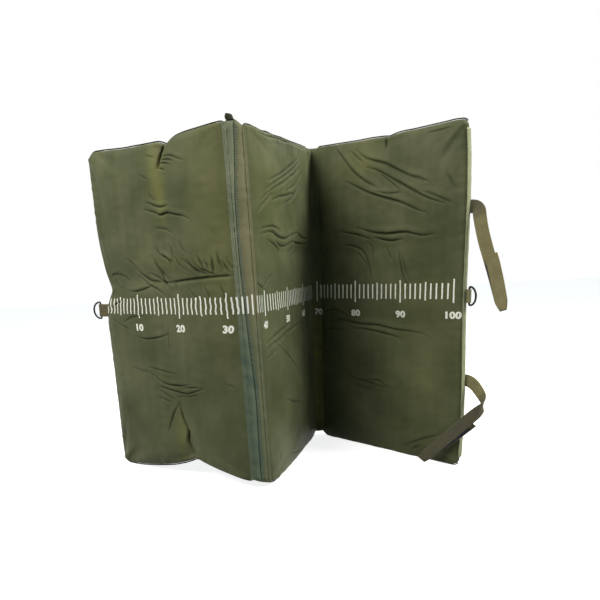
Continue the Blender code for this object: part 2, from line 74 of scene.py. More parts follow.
# Creases of each face: (depth in mm, width in mm, side of the lip, line of (x, z) in mm)
CREASES = {}
CREASES[1] = (
    (4.0, 5, 0, ((-124, 584), (-132, 575), (-138, 563), (-142, 548))),
    (1.2, 3.5, 1, ((-134, 565), (-112, 564), (-95, 558), (-80, 552))),
    (1.2, 3, 1, ((-135, 560), (-118, 559), (-102, 554))),
    (1.0, 3, 1, ((-138, 555), (-126, 554), (-112, 550))),
    (0.9, 3, 1, ((-142, 548), (-126, 543))),
    (0.6, 3, 1, ((-168, 571), (-149, 566))),
    (0.6, 4, 1, ((-182, 541), (-165, 532))),
    (0.8, 4, -1, ((-165, 514), (-160, 502), (-151, 496))),
    (1.3, 3.5, 1, ((-174, 496), (-154, 489), (-143, 486), (-125, 487))),
    (1.6, 4, 1, ((-178, 484), (-156, 478), (-145, 473), (-127, 475), (-109, 471), (-91, 467), (-78, 461))),
    (0.7, 4, 1, ((-158, 453), (-132, 448), (-119, 440))),
    (1.6, 4, 1, ((-158, 423), (-153, 409), (-135, 399), (-121, 394))),
    (1.2, 3.5, -1, ((-131, 424), (-125, 414), (-120, 400))),
    (0.9, 4, -1, ((-104, 427), (-99, 416), (-91, 406))),
    (1.1, 4, 1, ((-239, 406), (-222, 396), (-213, 385))),
    (1.7, 5, 1, ((-224, 397), (-208, 380), (-185, 365), (-160, 361))),
    (1.2, 4, 1, ((-292, 375), (-274, 379), (-253, 372))),
    (1.5, 4, 1, ((-183, 377), (-159, 366), (-142, 354), (-134, 343))),
    (1.3, 4, -1, ((-167, 394), (-157, 382), (-136, 360))),
    (1.0, 4, -1, ((-130, 367), (-119, 347))),
    (1.5, 5, 1, ((-102, 398), (-81, 384), (-64, 375), (-48, 370))),
    (1.3, 4, 1, ((-79, 395), (-68, 383), (-51, 375), (-35, 369))),
    (1.2, 4, -1, ((-53, 392), (-46, 379))),
    (1.5, 4, -1, ((-39, 398), (-39, 384), (-39, 373))),
    (1.4, 4, -1, ((-21, 391), (-15, 380), (-8, 370))),
    (1.0, 4, -1, ((-2, 382), (1, 371))),
    (1.8, 5, -1, ((-170, 363), (-141, 360), (-102, 363), (-57, 366), (-22, 367), (10, 367))),
    (1.6, 4, 1, ((-262, 382), (-250, 372), (-238, 363))),
    (1.5, 4, 1, ((-282, 366), (-272, 356), (-262, 350))),
    (1.6, 4, 1, ((-210, 372), (-188, 357), (-168, 349), (-150, 338))),
    (1.5, 4, -1, ((-172, 408), (-163, 392), (-152, 372), (-146, 352))),
    (1.6, 3.5, 1, ((-146, 408), (-134, 398), (-128, 386))),
    (1.4, 3.5, -1, ((-118, 402), (-108, 388), (-96, 378))),
    (1.7, 4, -1, ((-90, 396), (-78, 380), (-66, 370))),
    (1.6, 3.5, -1, ((-68, 402), (-60, 388), (-54, 376))),
    (1.5, 3.5, -1, ((-28, 404), (-26, 390), (-20, 376))),
    (1.3, 3.5, 1, ((-12, 396), (-6, 382), (4, 374))),
    (1.2, 4, 1, ((-246, 348), (-226, 346), (-200, 350), (-178, 356))),
    (1.0, 4, -1, ((-92, 348), (-84, 338), (-72, 330))),
    (1.0, 4, 1, ((-60, 352), (-52, 340), (-50, 330))),
    (1.0, 4, -1, ((-30, 352), (-22, 340), (-20, 330))),
    (1.1, 4, 1, ((-232, 264), (-205, 260), (-172, 264), (-150, 270))),
    (1.0, 4, 1, ((-290, 294), (-272, 284), (-246, 276))),
    (1.0, 4, 1, ((-296, 315), (-280, 325), (-263, 328))),
    (0.7, 5, 1, ((-264, 289), (-237, 299), (-205, 301))),
    (-1.0, 2.5, 0, ((-149, 301), (-151, 277), (-153, 244))),
    (1.4, 4, 1, ((-212, 200), (-195, 193), (-172, 180), (-139, 177), (-108, 182))),
    (0.9, 4, 1, ((-206, 208), (-174, 203), (-143, 197))),
    (1.5, 4, 1, ((-193, 174), (-164, 169), (-126, 164), (-98, 170), (-79, 177))),
    (1.2, 4, 1, ((-191, 169), (-175, 160), (-152, 150))),
    (0.9, 4, 1, ((-191, 154), (-172, 147), (-160, 145))),
    (0.9, 3.5, 1, ((-130, 174), (-101, 177), (-83, 177))),
    (0.8, 4, 1, ((-141, 157), (-113, 160), (-92, 165))),
    (0.6, 5, 1, ((-246, 205), (-210, 196))),
    (0.5, 4, 1, ((-31, 188), (-17, 183))),
    (2.4, 5, -1, ((-141, 144), (-135, 116), (-126, 94), (-131, 71), (-119, 44))),
    (1.0, 4, 1, ((-173, 88), (-158, 123), (-144, 141))),
    (0.8, 3, 1, ((-132, 105), (-118, 88))),
    (0.8, 3, 1, ((-129, 90), (-122, 74))),
)
CREASES[2] = (
    (1.7, 4.5, 1, ((87, 588), (51, 567), (-10, 545), (-57, 530), (-102, 517))),
    (1.9, 4.5, 1, ((89, 581), (60, 564), (8, 543), (-41, 528), (-78, 516), (-110, 504))),
    (1.5, 4.5, 1, ((76, 560), (27, 540), (-24, 523), (-71, 510), (-107, 498))),
    (1.2, 4, 1, ((80, 550), (61, 537), (23, 519), (-18, 508))),
    (1.6, 5, 1, ((61, 533), (42, 514), (9, 497), (-31, 486))),
    (1.4, 5, 1, ((42, 510), (-19, 500), (-56, 495), (-93, 487))),
    (1.2, 5, 1, ((-90, 498), (-127, 480), (-146, 465))),
    (0.9, 4, 1, ((-107, 498), (-134, 484))),
    (1.2, 5, 1, ((-142, 431), (-105, 435), (-72, 427), (-35, 425), (-3, 431), (34, 437))),
    (1.0, 4.5, 1, ((-140, 440), (-100, 444), (-66, 438))),
    (1.0, 4.5, 1, ((-90, 420), (-56, 412), (-27, 413), (10, 420))),
    (0.8, 4, 1, ((-120, 422), (-84, 412), (-60, 402))),
    (0.8, 4, 1, ((-20, 400), (10, 408), (40, 420))),
    (1.1, 4, 1, ((4, 420), (59, 417), (108, 418))),
    (0.9, 4, 1, ((30, 437), (73, 428), (109, 427))),
    (-0.9, 3, 0, ((-38, 409), (-43, 379), (-47, 346))),
    (1.2, 4, 1, ((-178, 362), (-157, 351), (-143, 341))),
    (1.0, 4, 1, ((-112, 365), (-133, 353), (-151, 342))),
    (1.5, 4, -1, ((-129, 588), (-90, 589), (-36, 594), (17, 596), (60, 599), (125, 598))),
    (1.5, 5, 1, ((-17, 276), (-72, 267), (-112, 260), (-146, 252))),
    (1.2, 5, 1, ((48, 268), (-31, 261), (-80, 257))),
    (1.0, 5, 1, ((-54, 256), (-113, 250), (-147, 242))),
    (-0.9, 4, 0, ((-132, 264), (-55, 220), (45, 155))),
    (0.9, 5, 1, ((51, 150), (0, 140), (-22, 136))),
    (1.0, 4, 1, ((-74, 140), (-30, 124), (22, 114))),
    (0.9, 5, 1, ((-72, 34), (0, 18))),
    (0.8, 5, 1, ((-112, 237), (-149, 227))),
)
CREASES[3] = (
    (2.0, 4.5, 1, ((53, 597), (74, 575), (97, 549), (124, 527), (150, 512))),
    (1.7, 4.5, 1, ((105, 584), (128, 566), (163, 553), (179, 545), (203, 532), (227, 519), (247, 508))),
    (1.0, 4, 1, ((91, 585), (120, 560))),
    (1.9, 4.5, 1, ((132, 549), (154, 540), (179, 526), (211, 507), (243, 488), (265, 477), (286, 469))),
    (1.2, 4, 1, ((154, 537), (179, 519), (196, 504))),
    (1.9, 5, 1, ((84, 529), (110, 516), (136, 503), (171, 490), (203, 479), (235, 463), (252, 457))),
    (1.0, 4, 1, ((153, 503), (179, 497), (203, 496))),
    (1.0, 5, 1, ((227, 522), (257, 508))),
    (1.0, 5, 1, ((245, 494), (271, 483), (303, 466))),
    (0.8, 5, 1, ((290, 519), (305, 491))),
    (1.8, 5, 1, ((110, 441), (140, 431), (174, 426), (212, 426), (243, 418), (268, 419))),
    (1.2, 5, 1, ((68, 437), (108, 428), (137, 418))),
    (1.5, 4.5, 1, ((147, 420), (178, 413), (205, 414))),
    (1.4, 5, -1, ((75, 411), (103, 405), (122, 393), (132, 373), (140, 337))),
    (1.1, 4, -1, ((107, 394), (126, 374), (132, 352))),
    (0.9, 4, -1, ((130, 415), (140, 400), (140, 381))),
    (1.0, 4, -1, ((170, 402), (183, 377))),
    (1.6, 4.5, -1, ((197, 394), (203, 371), (210, 345), (218, 328))),
    (1.0, 4, -1, ((205, 387), (212, 363), (220, 339))),
    (1.5, 5, 1, ((24, 258), (65, 261), (109, 255), (151, 254), (195, 247), (228, 245), (254, 241))),
    (1.4, 5, 1, ((95, 246), (133, 244), (174, 238), (205, 231))),
    (0.9, 5, 1, ((29, 243), (65, 241))),
    (0.9, 5, 1, ((13, 277), (51, 282), (85, 268))),
    (0.7, 5, 1, ((-3, 192), (36, 196))),
    (1.1, 4.5, 1, ((82, 146), (127, 139), (159, 133), (181, 134))),
    (0.9, 4, 1, ((98, 129), (127, 125), (148, 131))),
    (0.9, 4, 1, ((127, 143), (154, 144), (175, 135))),
    (0.9, 6, 1, ((212, 20), (245, 38), (286, 56))),
    (0.7, 5, 1, ((227, 15), (247, 28))),
    (2.0, 4, 0, ((165, 601), (166, 590), (167, 578))),
    (0.8, 4, 1, ((250, 588), (270, 589), (294, 590))),
)


# Places and shapes

joint_at = {joint["name"]: Vector(joint["pos_m"]) for joint in frame["joints"]}


def heading(start, end):
    return atan2(end.y - start.y, end.x - start.x)


def upright_frames():
    """Origin on the ground and heading of each panel and strip, worked out from the fold joints."""
    middle = heading(joint_at["fold_1"], joint_at["fold_2"])
    first = heading(joint_at["fold_1_outer"], joint_at["fold_1"])
    second = heading(joint_at["fold_2"], joint_at["fold_2_outer"])
    return {
        "panel_1": (joint_at["fold_1_outer"], 2 * first - middle),
        "strip_1": (joint_at["fold_1_outer"], first),
        "panel_2": (Vector((0, 0, 0)), middle),
        "strip_2": (joint_at["fold_2"], second),
        "panel_3": (joint_at["fold_2_outer"], 2 * second - middle),
    }


FRAMES = upright_frames()


def smooth_step(t):
    t = np.clip(t, 0, 1)
    return t * t * (3 - 2 * t)


def ridge_share(part, x):
    """How much of the ridge's lean a point of a part takes: all at the ridge, none at the far side."""
    if part == "panel_1":
        return smooth_step(1 + x / PANEL_LENGTH)
    if part == "panel_2":
        return smooth_step(0.5 - x / PANEL_LENGTH)
    return np.full(np.shape(x), 1.0 if part == "strip_1" else 0.0)


def valley_share(part, x):
    """The same for the small lean of the valley."""
    if part == "panel_2":
        return smooth_step(0.5 + x / PANEL_LENGTH)
    if part == "panel_3":
        return smooth_step(1 - x / PANEL_LENGTH)
    return np.full(np.shape(x), 1.0 if part == "strip_2" else 0.0)


def to_world(part, points):
    """Points of a part's own frame, in metres, as they stand in the leaning, folded mat."""
    points = np.asarray(points, float).reshape(-1, 3)
    origin, turn = FRAMES[part]
    x, y, z = points.T
    lean = (LEAN_FOOT + (LEAN_TOP - LEAN_FOOT) * z / MAT_HEIGHT) * ridge_share(part, x)
    lean = lean + VALLEY_LEAN * valley_share(part, x)
    out_x, out_y = {"panel_1": LEFT_FOOT_OUT, "panel_3": RIGHT_FOOT_OUT}.get(part, (0, 0))
    out = smooth_step(abs(x) / PANEL_LENGTH) * np.clip(1 - z / FOOT_OUT_TO, 0, 1)
    world_x = origin.x + x * cos(turn) - y * sin(turn) + lean + out_x * out
    world_y = origin.y + x * sin(turn) + y * cos(turn) + out_y * out
    return np.column_stack((world_x, world_y, z))


def smooth_line(knots, at):
    """A smooth curve through (place, value) knots in mm, read at places in metres, in metres."""
    xs, ys = np.array(knots, float).T * MM
    slopes = np.gradient(ys, xs)
    at = np.clip(at, xs[0], xs[-1])
    i = np.clip(np.searchsorted(xs, at) - 1, 0, len(xs) - 2)
    gap = xs[i + 1] - xs[i]
    t = (at - xs[i]) / gap
    rise = ys[i] * (2 * t**3 - 3 * t**2 + 1) + ys[i + 1] * (3 * t**2 - 2 * t**3)
    return rise + gap * (slopes[i] * (t**3 - 2 * t**2 + t) + slopes[i + 1] * (t**3 - t**2))


def smooth_route(points, steps=5):
    """A Catmull-Rom curve through the points."""
    points = np.asarray(points, float)
    ends = np.vstack((2 * points[0] - points[1], points, 2 * points[-1] - points[-2]))
    route = []
    for a, b, c, d in zip(ends, ends[1:], ends[2:], ends[3:]):
        for t in np.arange(steps) / steps:
            square = (2 * a - 5 * b + 4 * c - d) * t**2
            cube = (3 * b - a - 3 * c + d) * t**3
            route.append(0.5 * (2 * b + (c - a) * t + square + cube))
    return np.array([*route, points[-1]])


def run_lengths(points):
    """How far along a line each of its points is."""
    return np.concatenate(([0], np.cumsum(np.linalg.norm(np.diff(points, axis=0), axis=1))))


def unit_rows(rows):
    return rows / np.linalg.norm(rows, axis=1)[:, None]


def square_to(rows, ahead):
    """Directions turned square to a line's run, one unit long."""
    return unit_rows(rows - ahead * np.sum(rows * ahead, axis=1)[:, None])


def even_route(points, step):
    """The same line with its points about one step apart."""
    runs = run_lengths(points)
    at = np.linspace(0, runs[-1], max(2, int(round(runs[-1] / step)) + 1))
    return np.column_stack([np.interp(at, runs, axis) for axis in points.T])


RIPPLE_WAVES = 9


def ripple(x, z, seed, across, up):
    """Smooth seeded unevenness between -1 and 1, with its humps about this long across and up."""
    rng = np.random.default_rng(seed)
    total = np.zeros(np.shape(x))
    for _ in range(RIPPLE_WAVES):
        turn = rng.uniform(0, 2 * pi)
        waves = 2 * pi * (x * cos(turn) / across + z * sin(turn) / up)
        total += np.sin(waves * rng.uniform(0.6, 1.5) + rng.uniform(0, 2 * pi))
    return total / (RIPPLE_WAVES / 2)


def link_object(name, data):
    obj = bpy.data.objects.new(name, data)
    bpy.context.collection.objects.link(obj)
    return obj


def mesh_object(name, points, faces):
    mesh = bpy.data.meshes.new(name)
    mesh.from_pydata([tuple(point) for point in points], [], [tuple(face) for face in faces])
    mesh.shade_smooth()
    return link_object(name, mesh)


def points_of(obj):
    flat = np.zeros(len(obj.data.vertices) * 3)
    obj.data.vertices.foreach_get("co", flat)
    return flat.reshape(-1, 3)


def set_points(obj, points):
    obj.data.vertices.foreach_set("co", np.asarray(points, float).ravel())
    obj.data.update()


def write_attribute(obj, name, values):
    attribute = obj.data.attributes.get(name) or obj.data.attributes.new(name, "FLOAT", "POINT")
    attribute.data.foreach_set("value", np.asarray(values, np.float32))


def place_on_cloth(obj, x, z):
    """Stores each point's place on the flat cloth, which the weave follows."""
    write_attribute(obj, "cloth_x", x)
    write_attribute(obj, "cloth_z", z)


def read_attribute(obj, name):
    values = np.zeros(len(obj.data.vertices), np.float32)
    obj.data.attributes[name].data.foreach_get("value", values)
    return values.astype(float)


def settle(obj):
    """Turns an object with its modifiers into a plain mesh."""
    evaluated = obj.evaluated_get(bpy.context.evaluated_depsgraph_get())
    mesh = bpy.data.meshes.new_from_object(evaluated)
    obj.modifiers.clear()
    obj.data = mesh
    return obj


def subdivide(obj, levels=1):
    modifier = obj.modifiers.new("finer", "SUBSURF")
    modifier.levels = levels
    modifier.render_levels = levels
    return settle(obj)


def sweep(name, route, section, ups, closed=False):
    """Carries a closed section along a route. ups is the section's second direction at each point."""
    route = np.asarray(route, float)
    if closed:
        ahead = np.roll(route, -1, 0) - np.roll(route, 1, 0)
    else:
        ahead = np.gradient(route, axis=0)
    ahead = unit_rows(ahead)
    ups = square_to(np.asarray(ups, float) * np.ones((len(route), 1)), ahead)
    sides = np.cross(ups, ahead)
    section = np.asarray(section, float)
    if section.ndim == 2:
        section = np.repeat(section[None], len(route), 0)
    count = section.shape[1]
    points = route[:, None] + sides[:, None] * section[:, :, :1] + ups[:, None] * section[:, :, 1:]
    faces = []
    for i in range(len(route) if closed else len(route) - 1):
        here, there = i * count, (i + 1) % len(route) * count
        faces += [(here + k, here + (k + 1) % count, there + (k + 1) % count, there + k) for k in range(count)]
    if not closed:
        faces += [tuple(reversed(range(count))), tuple(range((len(route) - 1) * count, len(route) * count))]
    return mesh_object(name, points.reshape(-1, 3), faces)


def round_section(radius, count):
    turns = 2 * pi * np.arange(count) / count
    return np.column_stack((radius * np.cos(turns), radius * np.sin(turns)))


def finish_piece(obj, material, body):
    obj.data.materials.clear()
    obj.data.materials.append(material)
    if body:
        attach(obj, body)
    return obj


# Materials

def hex_colour(text):
    """An sRGB hex colour as the linear colour that the shaders take."""
    channels = [int(text[i : i + 2], 16) / 255 for i in (1, 3, 5)]
    return tuple(c / 12.92 if c <= 0.04045 else ((c + 0.055) / 1.055) ** 2.4 for c in channels) + (1,)


def add_node(tree, kind, settings=None, inputs=None, links=None):
    """Adds a node to a tree: its settings, its sockets' values, and what is linked to its sockets."""
    node = tree.nodes.new(kind)
    for key, value in (settings or {}).items():
        setattr(node, key, value)
    for key, value in (inputs or {}).items():
        node.inputs[key].default_value = value
    for key, source in (links or {}).items():
        tree.links.new(source, node.inputs[key])
    return node


def new_material(name):
    material = bpy.data.materials.new(name)
    material.use_nodes = True
    material.node_tree.nodes.clear()
    return material, material.node_tree


def ramp(tree, source, stops):
    node = add_node(tree, "ShaderNodeValToRGB", links={"Fac": source})
    elements = node.color_ramp.elements
    while len(elements) < len(stops):
        elements.new(0.5)
    for element, (place, colour) in zip(elements, stops):
        element.position = place
        element.color = hex_colour(colour)
    return node


def cloth_coordinates(tree):
    """The point's place on the flat cloth, in metres: along the mat, and up."""
    along = add_node(tree, "ShaderNodeAttribute", {"attribute_name": "cloth_x"})
    up = add_node(tree, "ShaderNodeAttribute", {"attribute_name": "cloth_z"})
    return add_node(tree, "ShaderNodeCombineXYZ", links={"X": along.outputs["Fac"], "Y": up.outputs["Fac"]}).outputs[0]


def nylon(name, dark, middle, light, painted_tone, roughness, gloss):
    """Coated nylon: mottled tone, faint streaks down the cloth, a fine weave and small slack wrinkles, with painted
    light and painted shade laid in from the pieces' attributes.
    """
    material, tree = new_material(name)
    place = cloth_coordinates(tree)
    patch = {"Scale": 9.0, "Detail": 3.0, "Roughness": 0.55}
    patches = add_node(tree, "ShaderNodeTexNoise", inputs=patch, links={"Vector": place})
    stretched = add_node(tree, "ShaderNodeMapping", inputs={"Scale": (70.0, 6.0, 1.0)}, links={"Vector": place})
    streak = {"Scale": 1.0, "Detail": 3.0}
    streaks = add_node(tree, "ShaderNodeTexNoise", inputs=streak, links={"Vector": stretched.outputs[0]})
    both = add_node(
        tree,
        "ShaderNodeMix",
        {"data_type": "FLOAT"},
        {0: 0.16},
        {2: patches.outputs["Fac"], 3: streaks.outputs["Fac"]},
    )
    colour = ramp(tree, both.outputs[0], ((0.34, dark), (0.5, middle), (0.66, light))).outputs[0]
    # painted light and shade: lighter patches where folds catch the light, a tint towards the strips' feet, near-black
    # shade in the creases' grooves
    for attribute, other in (("painted_light_and_shade", painted_tone), ("painted_crease_shade", "#1c2012")):
        amount = add_node(tree, "ShaderNodeAttribute", {"attribute_name": attribute})
        colour = add_node(
            tree,
            "ShaderNodeMix",
            {"data_type": "RGBA"},
            {7: hex_colour(other)},
            {0: amount.outputs["Fac"], 6: colour},
        ).outputs[2]
    # threads about 1.5 mm apart, drawn three times coarser than the real ones so that they show
    thread = {"Scale": 209.0, "Distortion": 0.3}
    ways = [
        add_node(tree, "ShaderNodeTexWave", {"bands_direction": way}, thread, {"Vector": place}).outputs["Fac"]
        for way in "XY"
    ]
    weave = add_node(tree, "ShaderNodeMath", {"operation": "ADD"}, links=dict(enumerate(ways)))
    flat = add_node(tree, "ShaderNodeMapping", inputs={"Scale": (75.0, 100.0, 1.0)}, links={"Vector": place})
    wrinkle = {"Scale": 1.0, "Detail": 4.0, "Roughness": 0.6}
    slack = add_node(tree, "ShaderNodeTexNoise", inputs=wrinkle, links={"Vector": flat.outputs[0]})
    depth = {"Strength": 0.35, "Distance": 0.00012}
    fine = add_node(tree, "ShaderNodeBump", inputs=depth, links={"Height": weave.outputs[0]})
    soft = add_node(
        tree,
        "ShaderNodeBump",
        inputs={"Strength": 0.6, "Distance": 0.001},
        links={"Height": slack.outputs["Fac"], "Normal": fine.outputs[0]},
    )
    shader = add_node(
        tree,
        "ShaderNodeBsdfPrincipled",
        inputs={"Roughness": roughness, "Specular IOR Level": gloss, "Sheen Weight": 0.02, "Sheen Roughness": 0.35},
        links={"Base Color": colour, "Normal": soft.outputs[0]},
    )
    add_node(tree, "ShaderNodeOutputMaterial", links={"Surface": shader.outputs[0]})
    return material


def woven_band(name, dark, light):
    """Webbing: ribs across the band every 1.6 mm and a faint edge, from its own run and width."""
    material, tree = new_material(name)
    place = cloth_coordinates(tree)
    ways = [
        add_node(tree, "ShaderNodeTexWave", {"bands_direction": way}, bands, {"Vector": place}).outputs["Fac"]
        for way, bands in (("X", {"Scale": 196.0, "Distortion": 0.6}), ("Y", {"Scale": 130.0, "Distortion": 0.4}))
    ]
    weave = add_node(tree, "ShaderNodeMath", {"operation": "MULTIPLY"}, links=dict(enumerate(ways)))
    wear = add_node(tree, "ShaderNodeTexNoise", inputs={"Scale": 60.0, "Detail": 4.0}, links={"Vector": place})
    both = add_node(
        tree,
        "ShaderNodeMix",
        {"data_type": "FLOAT"},
        {0: 0.5},
        {2: weave.outputs[0], 3: wear.outputs["Fac"]},
    )
    tone = ramp(tree, both.outputs[0], ((0.12, dark), (0.62, light)))
    # the shade attribute darkens the webbing: painted shade on the upper strap, and the lower strap darker after its
    # turn
    shade = add_node(tree, "ShaderNodeAttribute", {"attribute_name": "shade"})
    colour = add_node(
        tree,
        "ShaderNodeMix",
        {"data_type": "RGBA"},
        {7: hex_colour("#35342a")},
        {0: shade.outputs["Fac"], 6: tone.outputs[0]},
    )
    depth = {"Strength": 0.6, "Distance": 0.0004}
    bump = add_node(tree, "ShaderNodeBump", inputs=depth, links={"Height": weave.outputs[0]})
    shader = add_node(
        tree,
        "ShaderNodeBsdfPrincipled",
        inputs={"Roughness": 0.8, "Sheen Weight": 0.12, "Sheen Roughness": 0.5},
        links={"Base Color": colour.outputs[2], "Normal": bump.outputs[0]},
    )
    add_node(tree, "ShaderNodeOutputMaterial", links={"Surface": shader.outputs[0]})
    return material


def hooked_tape(name):
    """Hook and loop tape: a dark matt pile of tiny loops."""
    material, tree = new_material(name)
    place = add_node(tree, "ShaderNodeTexCoord")
    pile = add_node(tree, "ShaderNodeTexVoronoi", inputs={"Scale": 900.0}, links={"Vector": place.outputs["Object"]})
    colour = ramp(tree, pile.outputs["Distance"], ((0.0, "#1c1a20"), (0.7, "#3a3540")))
    depth = {"Strength": 0.8, "Distance": 0.0004}
    bump = add_node(tree, "ShaderNodeBump", inputs=depth, links={"Height": pile.outputs["Distance"]})
    shader = add_node(
        tree,
        "ShaderNodeBsdfPrincipled",
        inputs={"Roughness": 0.95, "Sheen Weight": 0.3},
        links={"Base Color": colour.outputs[0], "Normal": bump.outputs[0]},
    )
    add_node(tree, "ShaderNodeOutputMaterial", links={"Surface": shader.outputs[0]})
    return material


def lacquered_wire(name):
    """Black lacquer on steel wire: glossy, with small dulled and rubbed places."""
    material, tree = new_material(name)
    place = add_node(tree, "ShaderNodeTexCoord").outputs["Object"]
    rubbed = add_node(tree, "ShaderNodeTexNoise", inputs={"Scale": 350.0, "Detail": 4.0}, links={"Vector": place})
    colour = ramp(tree, rubbed.outputs["Fac"], ((0.45, "#0a0a0b"), (0.75, "#262522")))
    limits = {"To Min": 0.22, "To Max": 0.5}
    dull = add_node(tree, "ShaderNodeMapRange", inputs=limits, links={"Value": rubbed.outputs["Fac"]})
    shader = add_node(
        tree,
        "ShaderNodeBsdfPrincipled",
        inputs={"Specular IOR Level": 0.25},
        links={"Base Color": colour.outputs[0], "Roughness": dull.outputs[0]},
    )
    add_node(tree, "ShaderNodeOutputMaterial", links={"Surface": shader.outputs[0]})
    return material


def speckled(name, scale, dark, light, roughness):
    """A plain coating or thread whose tone varies a little: screen print and sewing thread."""
    material, tree = new_material(name)
    place = add_node(tree, "ShaderNodeTexCoord").outputs["Object"]
    grain = add_node(tree, "ShaderNodeTexNoise", inputs={"Scale": scale, "Detail": 3.0}, links={"Vector": place})
    colour = ramp(tree, grain.outputs["Fac"], ((0.32, dark), (0.6, light)))
    shader = add_node(
        tree, "ShaderNodeBsdfPrincipled", inputs={"Roughness": roughness}, links={"Base Color": colour.outputs[0]}
    )
    add_node(tree, "ShaderNodeOutputMaterial", links={"Surface": shader.outputs[0]})
    return material


COVER_CLOTH = nylon("olive_coated_nylon", "#4a4f37", "#595d44", "#676a4f", "#7b7c48", 0.48, 0.07)
# the ridge strip's own grey-green cloth, its left half tinted cooler as painted shade and its right half warmer as
# painted light from the right
RIDGE_NYLON_LEFT_PAINTED_SHADE = nylon("ridge_nylon_painted_cool_shade", "#666e5b", "#767d69", "#858a74", "#425850", 0.5, 0.08)
RIDGE_NYLON_RIGHT_PAINTED_LIGHT = nylon("ridge_nylon_painted_warm_light", "#66674f", "#757359", "#847f64", "#586450", 0.5, 0.08)
# near-black: painted shade on the welts along the pads' edges, and the folded end of the ridge's seam
DARK_SEAM_AND_PAINTED_EDGE_SHADE = nylon("dark_seam_end_and_painted_edge_shade", "#1a1d13", "#232618", "#2e3120", "#2e3120", 0.6, 0.15)
# one webbing at both ends: the left loop's copy darker as painted shade, the right loop's lighter as painted light
LEFT_LOOP_PAINTED_SHADE_WEBBING = woven_band("olive_webbing", "#3c3620", "#665c36")
RIGHT_LOOP_PAINTED_LIGHT_WEBBING = woven_band("right_loop_webbing_painted_light", "#6d6c4e", "#8f8d6a")
STRAP_CLOTH = woven_band("tan_olive_webbing", "#66613f", "#9a9169")
# pale: painted light on the right end wall
END_TAPE_PAINTED_LIGHT = woven_band("olive_tape_painted_light", "#7f8163", "#a9ab88")
TAPE = hooked_tape("dark_hook_and_loop_tape")
WIRE = lacquered_wire("black_lacquered_wire")
# screen print, a little thin where the weave shows through
PRINT = speckled("off_white_screen_print", 420.0, "#e4e4da", "#fbfbf6", 0.55)
# twisted polyester, darker than the cloth it sews
THREAD = speckled("dark_teal_thread", 700.0, "#27474a", "#3d6466", 0.65)


# Padded panels: outlines in mm, x along the panel and z up, as the soft pads stand

PADS = {
    1: {
        "body": "left_panel",
        "start": -PANEL_LENGTH,
        "end": 0,
        "folds": (False, True),
        "ridges": ((0, -1),),
        "top": (
            (-325, 592), (-314, 598), (-300, 598), (-232, 593), (-165, 591), (-138, 589), (-129, 585.5),
            (-123, 583), (-116, 588), (-104, 592.5), (-84, 595.5), (-53, 597), (-14, 598.5), (0, 598.5),
        ),
        "foot": (
            (-325, 10), (-312, 5), (-293, 4), (-250, 7), (-204, 14), (-165, 23), (-135, 34),
            (-121, 40), (-108, 36), (-78, 28), (-45, 22), (-15, 18), (0, 18),
        ),
        "near": (
            (0, -317), (27, -318), (132, -318), (233, -318), (290, -318), (318, -314), (334, -306),
            (349, -297), (360, -301), (378, -309), (405, -316), (434, -321), (516, -326), (600, -328),
        ),
        "far": ((0, -1.6), (600, -1.6)),
    },
    2: {
        "body": "middle_panel",
        "start": -PANEL_LENGTH / 2,
        "end": PANEL_LENGTH / 2,
        "folds": (True, True),
        "ridges": ((-PANEL_LENGTH / 2, -1), (PANEL_LENGTH / 2, 1)),
        "top": (
            (-162.5, 594), (-150, 596), (-118, 597), (-86, 597), (-60, 599.5), (-30, 599.5), (0, 601.5),
            (40, 602.5), (80, 604), (120, 606), (150, 607), (162.5, 607.5),
        ),
        "foot": (
            (-162.5, 12), (-150, 8), (-110, 5.5), (-60, 3), (0, 1.5), (60, 1), (120, 1), (150, 4), (162.5, 9),
        ),
        "near": ((0, -160.9), (600, -160.9)),
        "far": ((0, 160.9), (600, 160.9)),
    },
    3: {
        "body": "right_panel",
        "start": 0,
        "end": PANEL_LENGTH,
        "folds": (True, False),
        "ridges": ((0, 1),),
        "top": (
            (0, 607.5), (12, 607), (50, 605), (100, 602.5), (150, 600.5), (164, 599), (171, 597.5),
            (179, 599.5), (230, 600.5), (280, 601), (303, 601), (316, 599), (325, 596),
        ),
        "foot": (
            (0, 9), (12, 3), (50, 0.8), (120, 0.5), (160, 1), (168, 3), (177, 1), (250, 0.4), (300, 0.6), (325, 6),
        ),
        "near": ((0, 1.6), (600, 1.6)),
        "far": ((0, 320), (30, 322), (300, 322.5), (570, 322), (600, 320)),
    },
}

# Soft hills and hollows of each face: (height in mm, half width along, half width up, x, z, lean in degrees)
SWELLS = {
    1: (
        (-2.6, 15, 70, -131, 545, 4), (-2.8, 15, 62, -126, 62, -4), (-1.3, 13, 230, -138, 300, 0),
        (2.2, 70, 70, -235, 520, 0), (2.0, 60, 80, -60, 515, 0), (-3.0, 190, 17, -130, 368, 0),
        (2.4, 80, 60, -235, 225, 0), (2.4, 70, 70, -60, 230, 0), (3.2, 32, 46, -100, 100, 12),
        (2.0, 60, 60, -230, 90, 0), (-2.2, 45, 26, -285, 352, 0), (1.8, 60, 26, -230, 415, 0),
    ),
    2: (
        (2.4, 75, 90, -70, 470, 0), (2.2, 70, 110, 60, 480, 0), (-2.4, 160, 14, 0, 405, 0),
        (2.0, 90, 90, -20, 190, 20), (-1.6, 90, 22, -70, 262, -8), (-1.5, 14, 60, 10, 560, 0),
        (1.6, 60, 70, 40, 90, 0),
    ),
    3: (
        (2.4, 70, 80, 80, 480, -20), (2.0, 60, 90, 250, 520, 0), (-2.2, 130, 15, 170, 402, 4),
        (2.4, 90, 70, 90, 180, 0), (2.2, 70, 90, 240, 170, 0), (-1.6, 120, 16, 150, 262, 2),
        (-2.2, 12, 55, 171, 580, 0), (-1.4, 13, 60, 168, 30, 0),
    ),
}

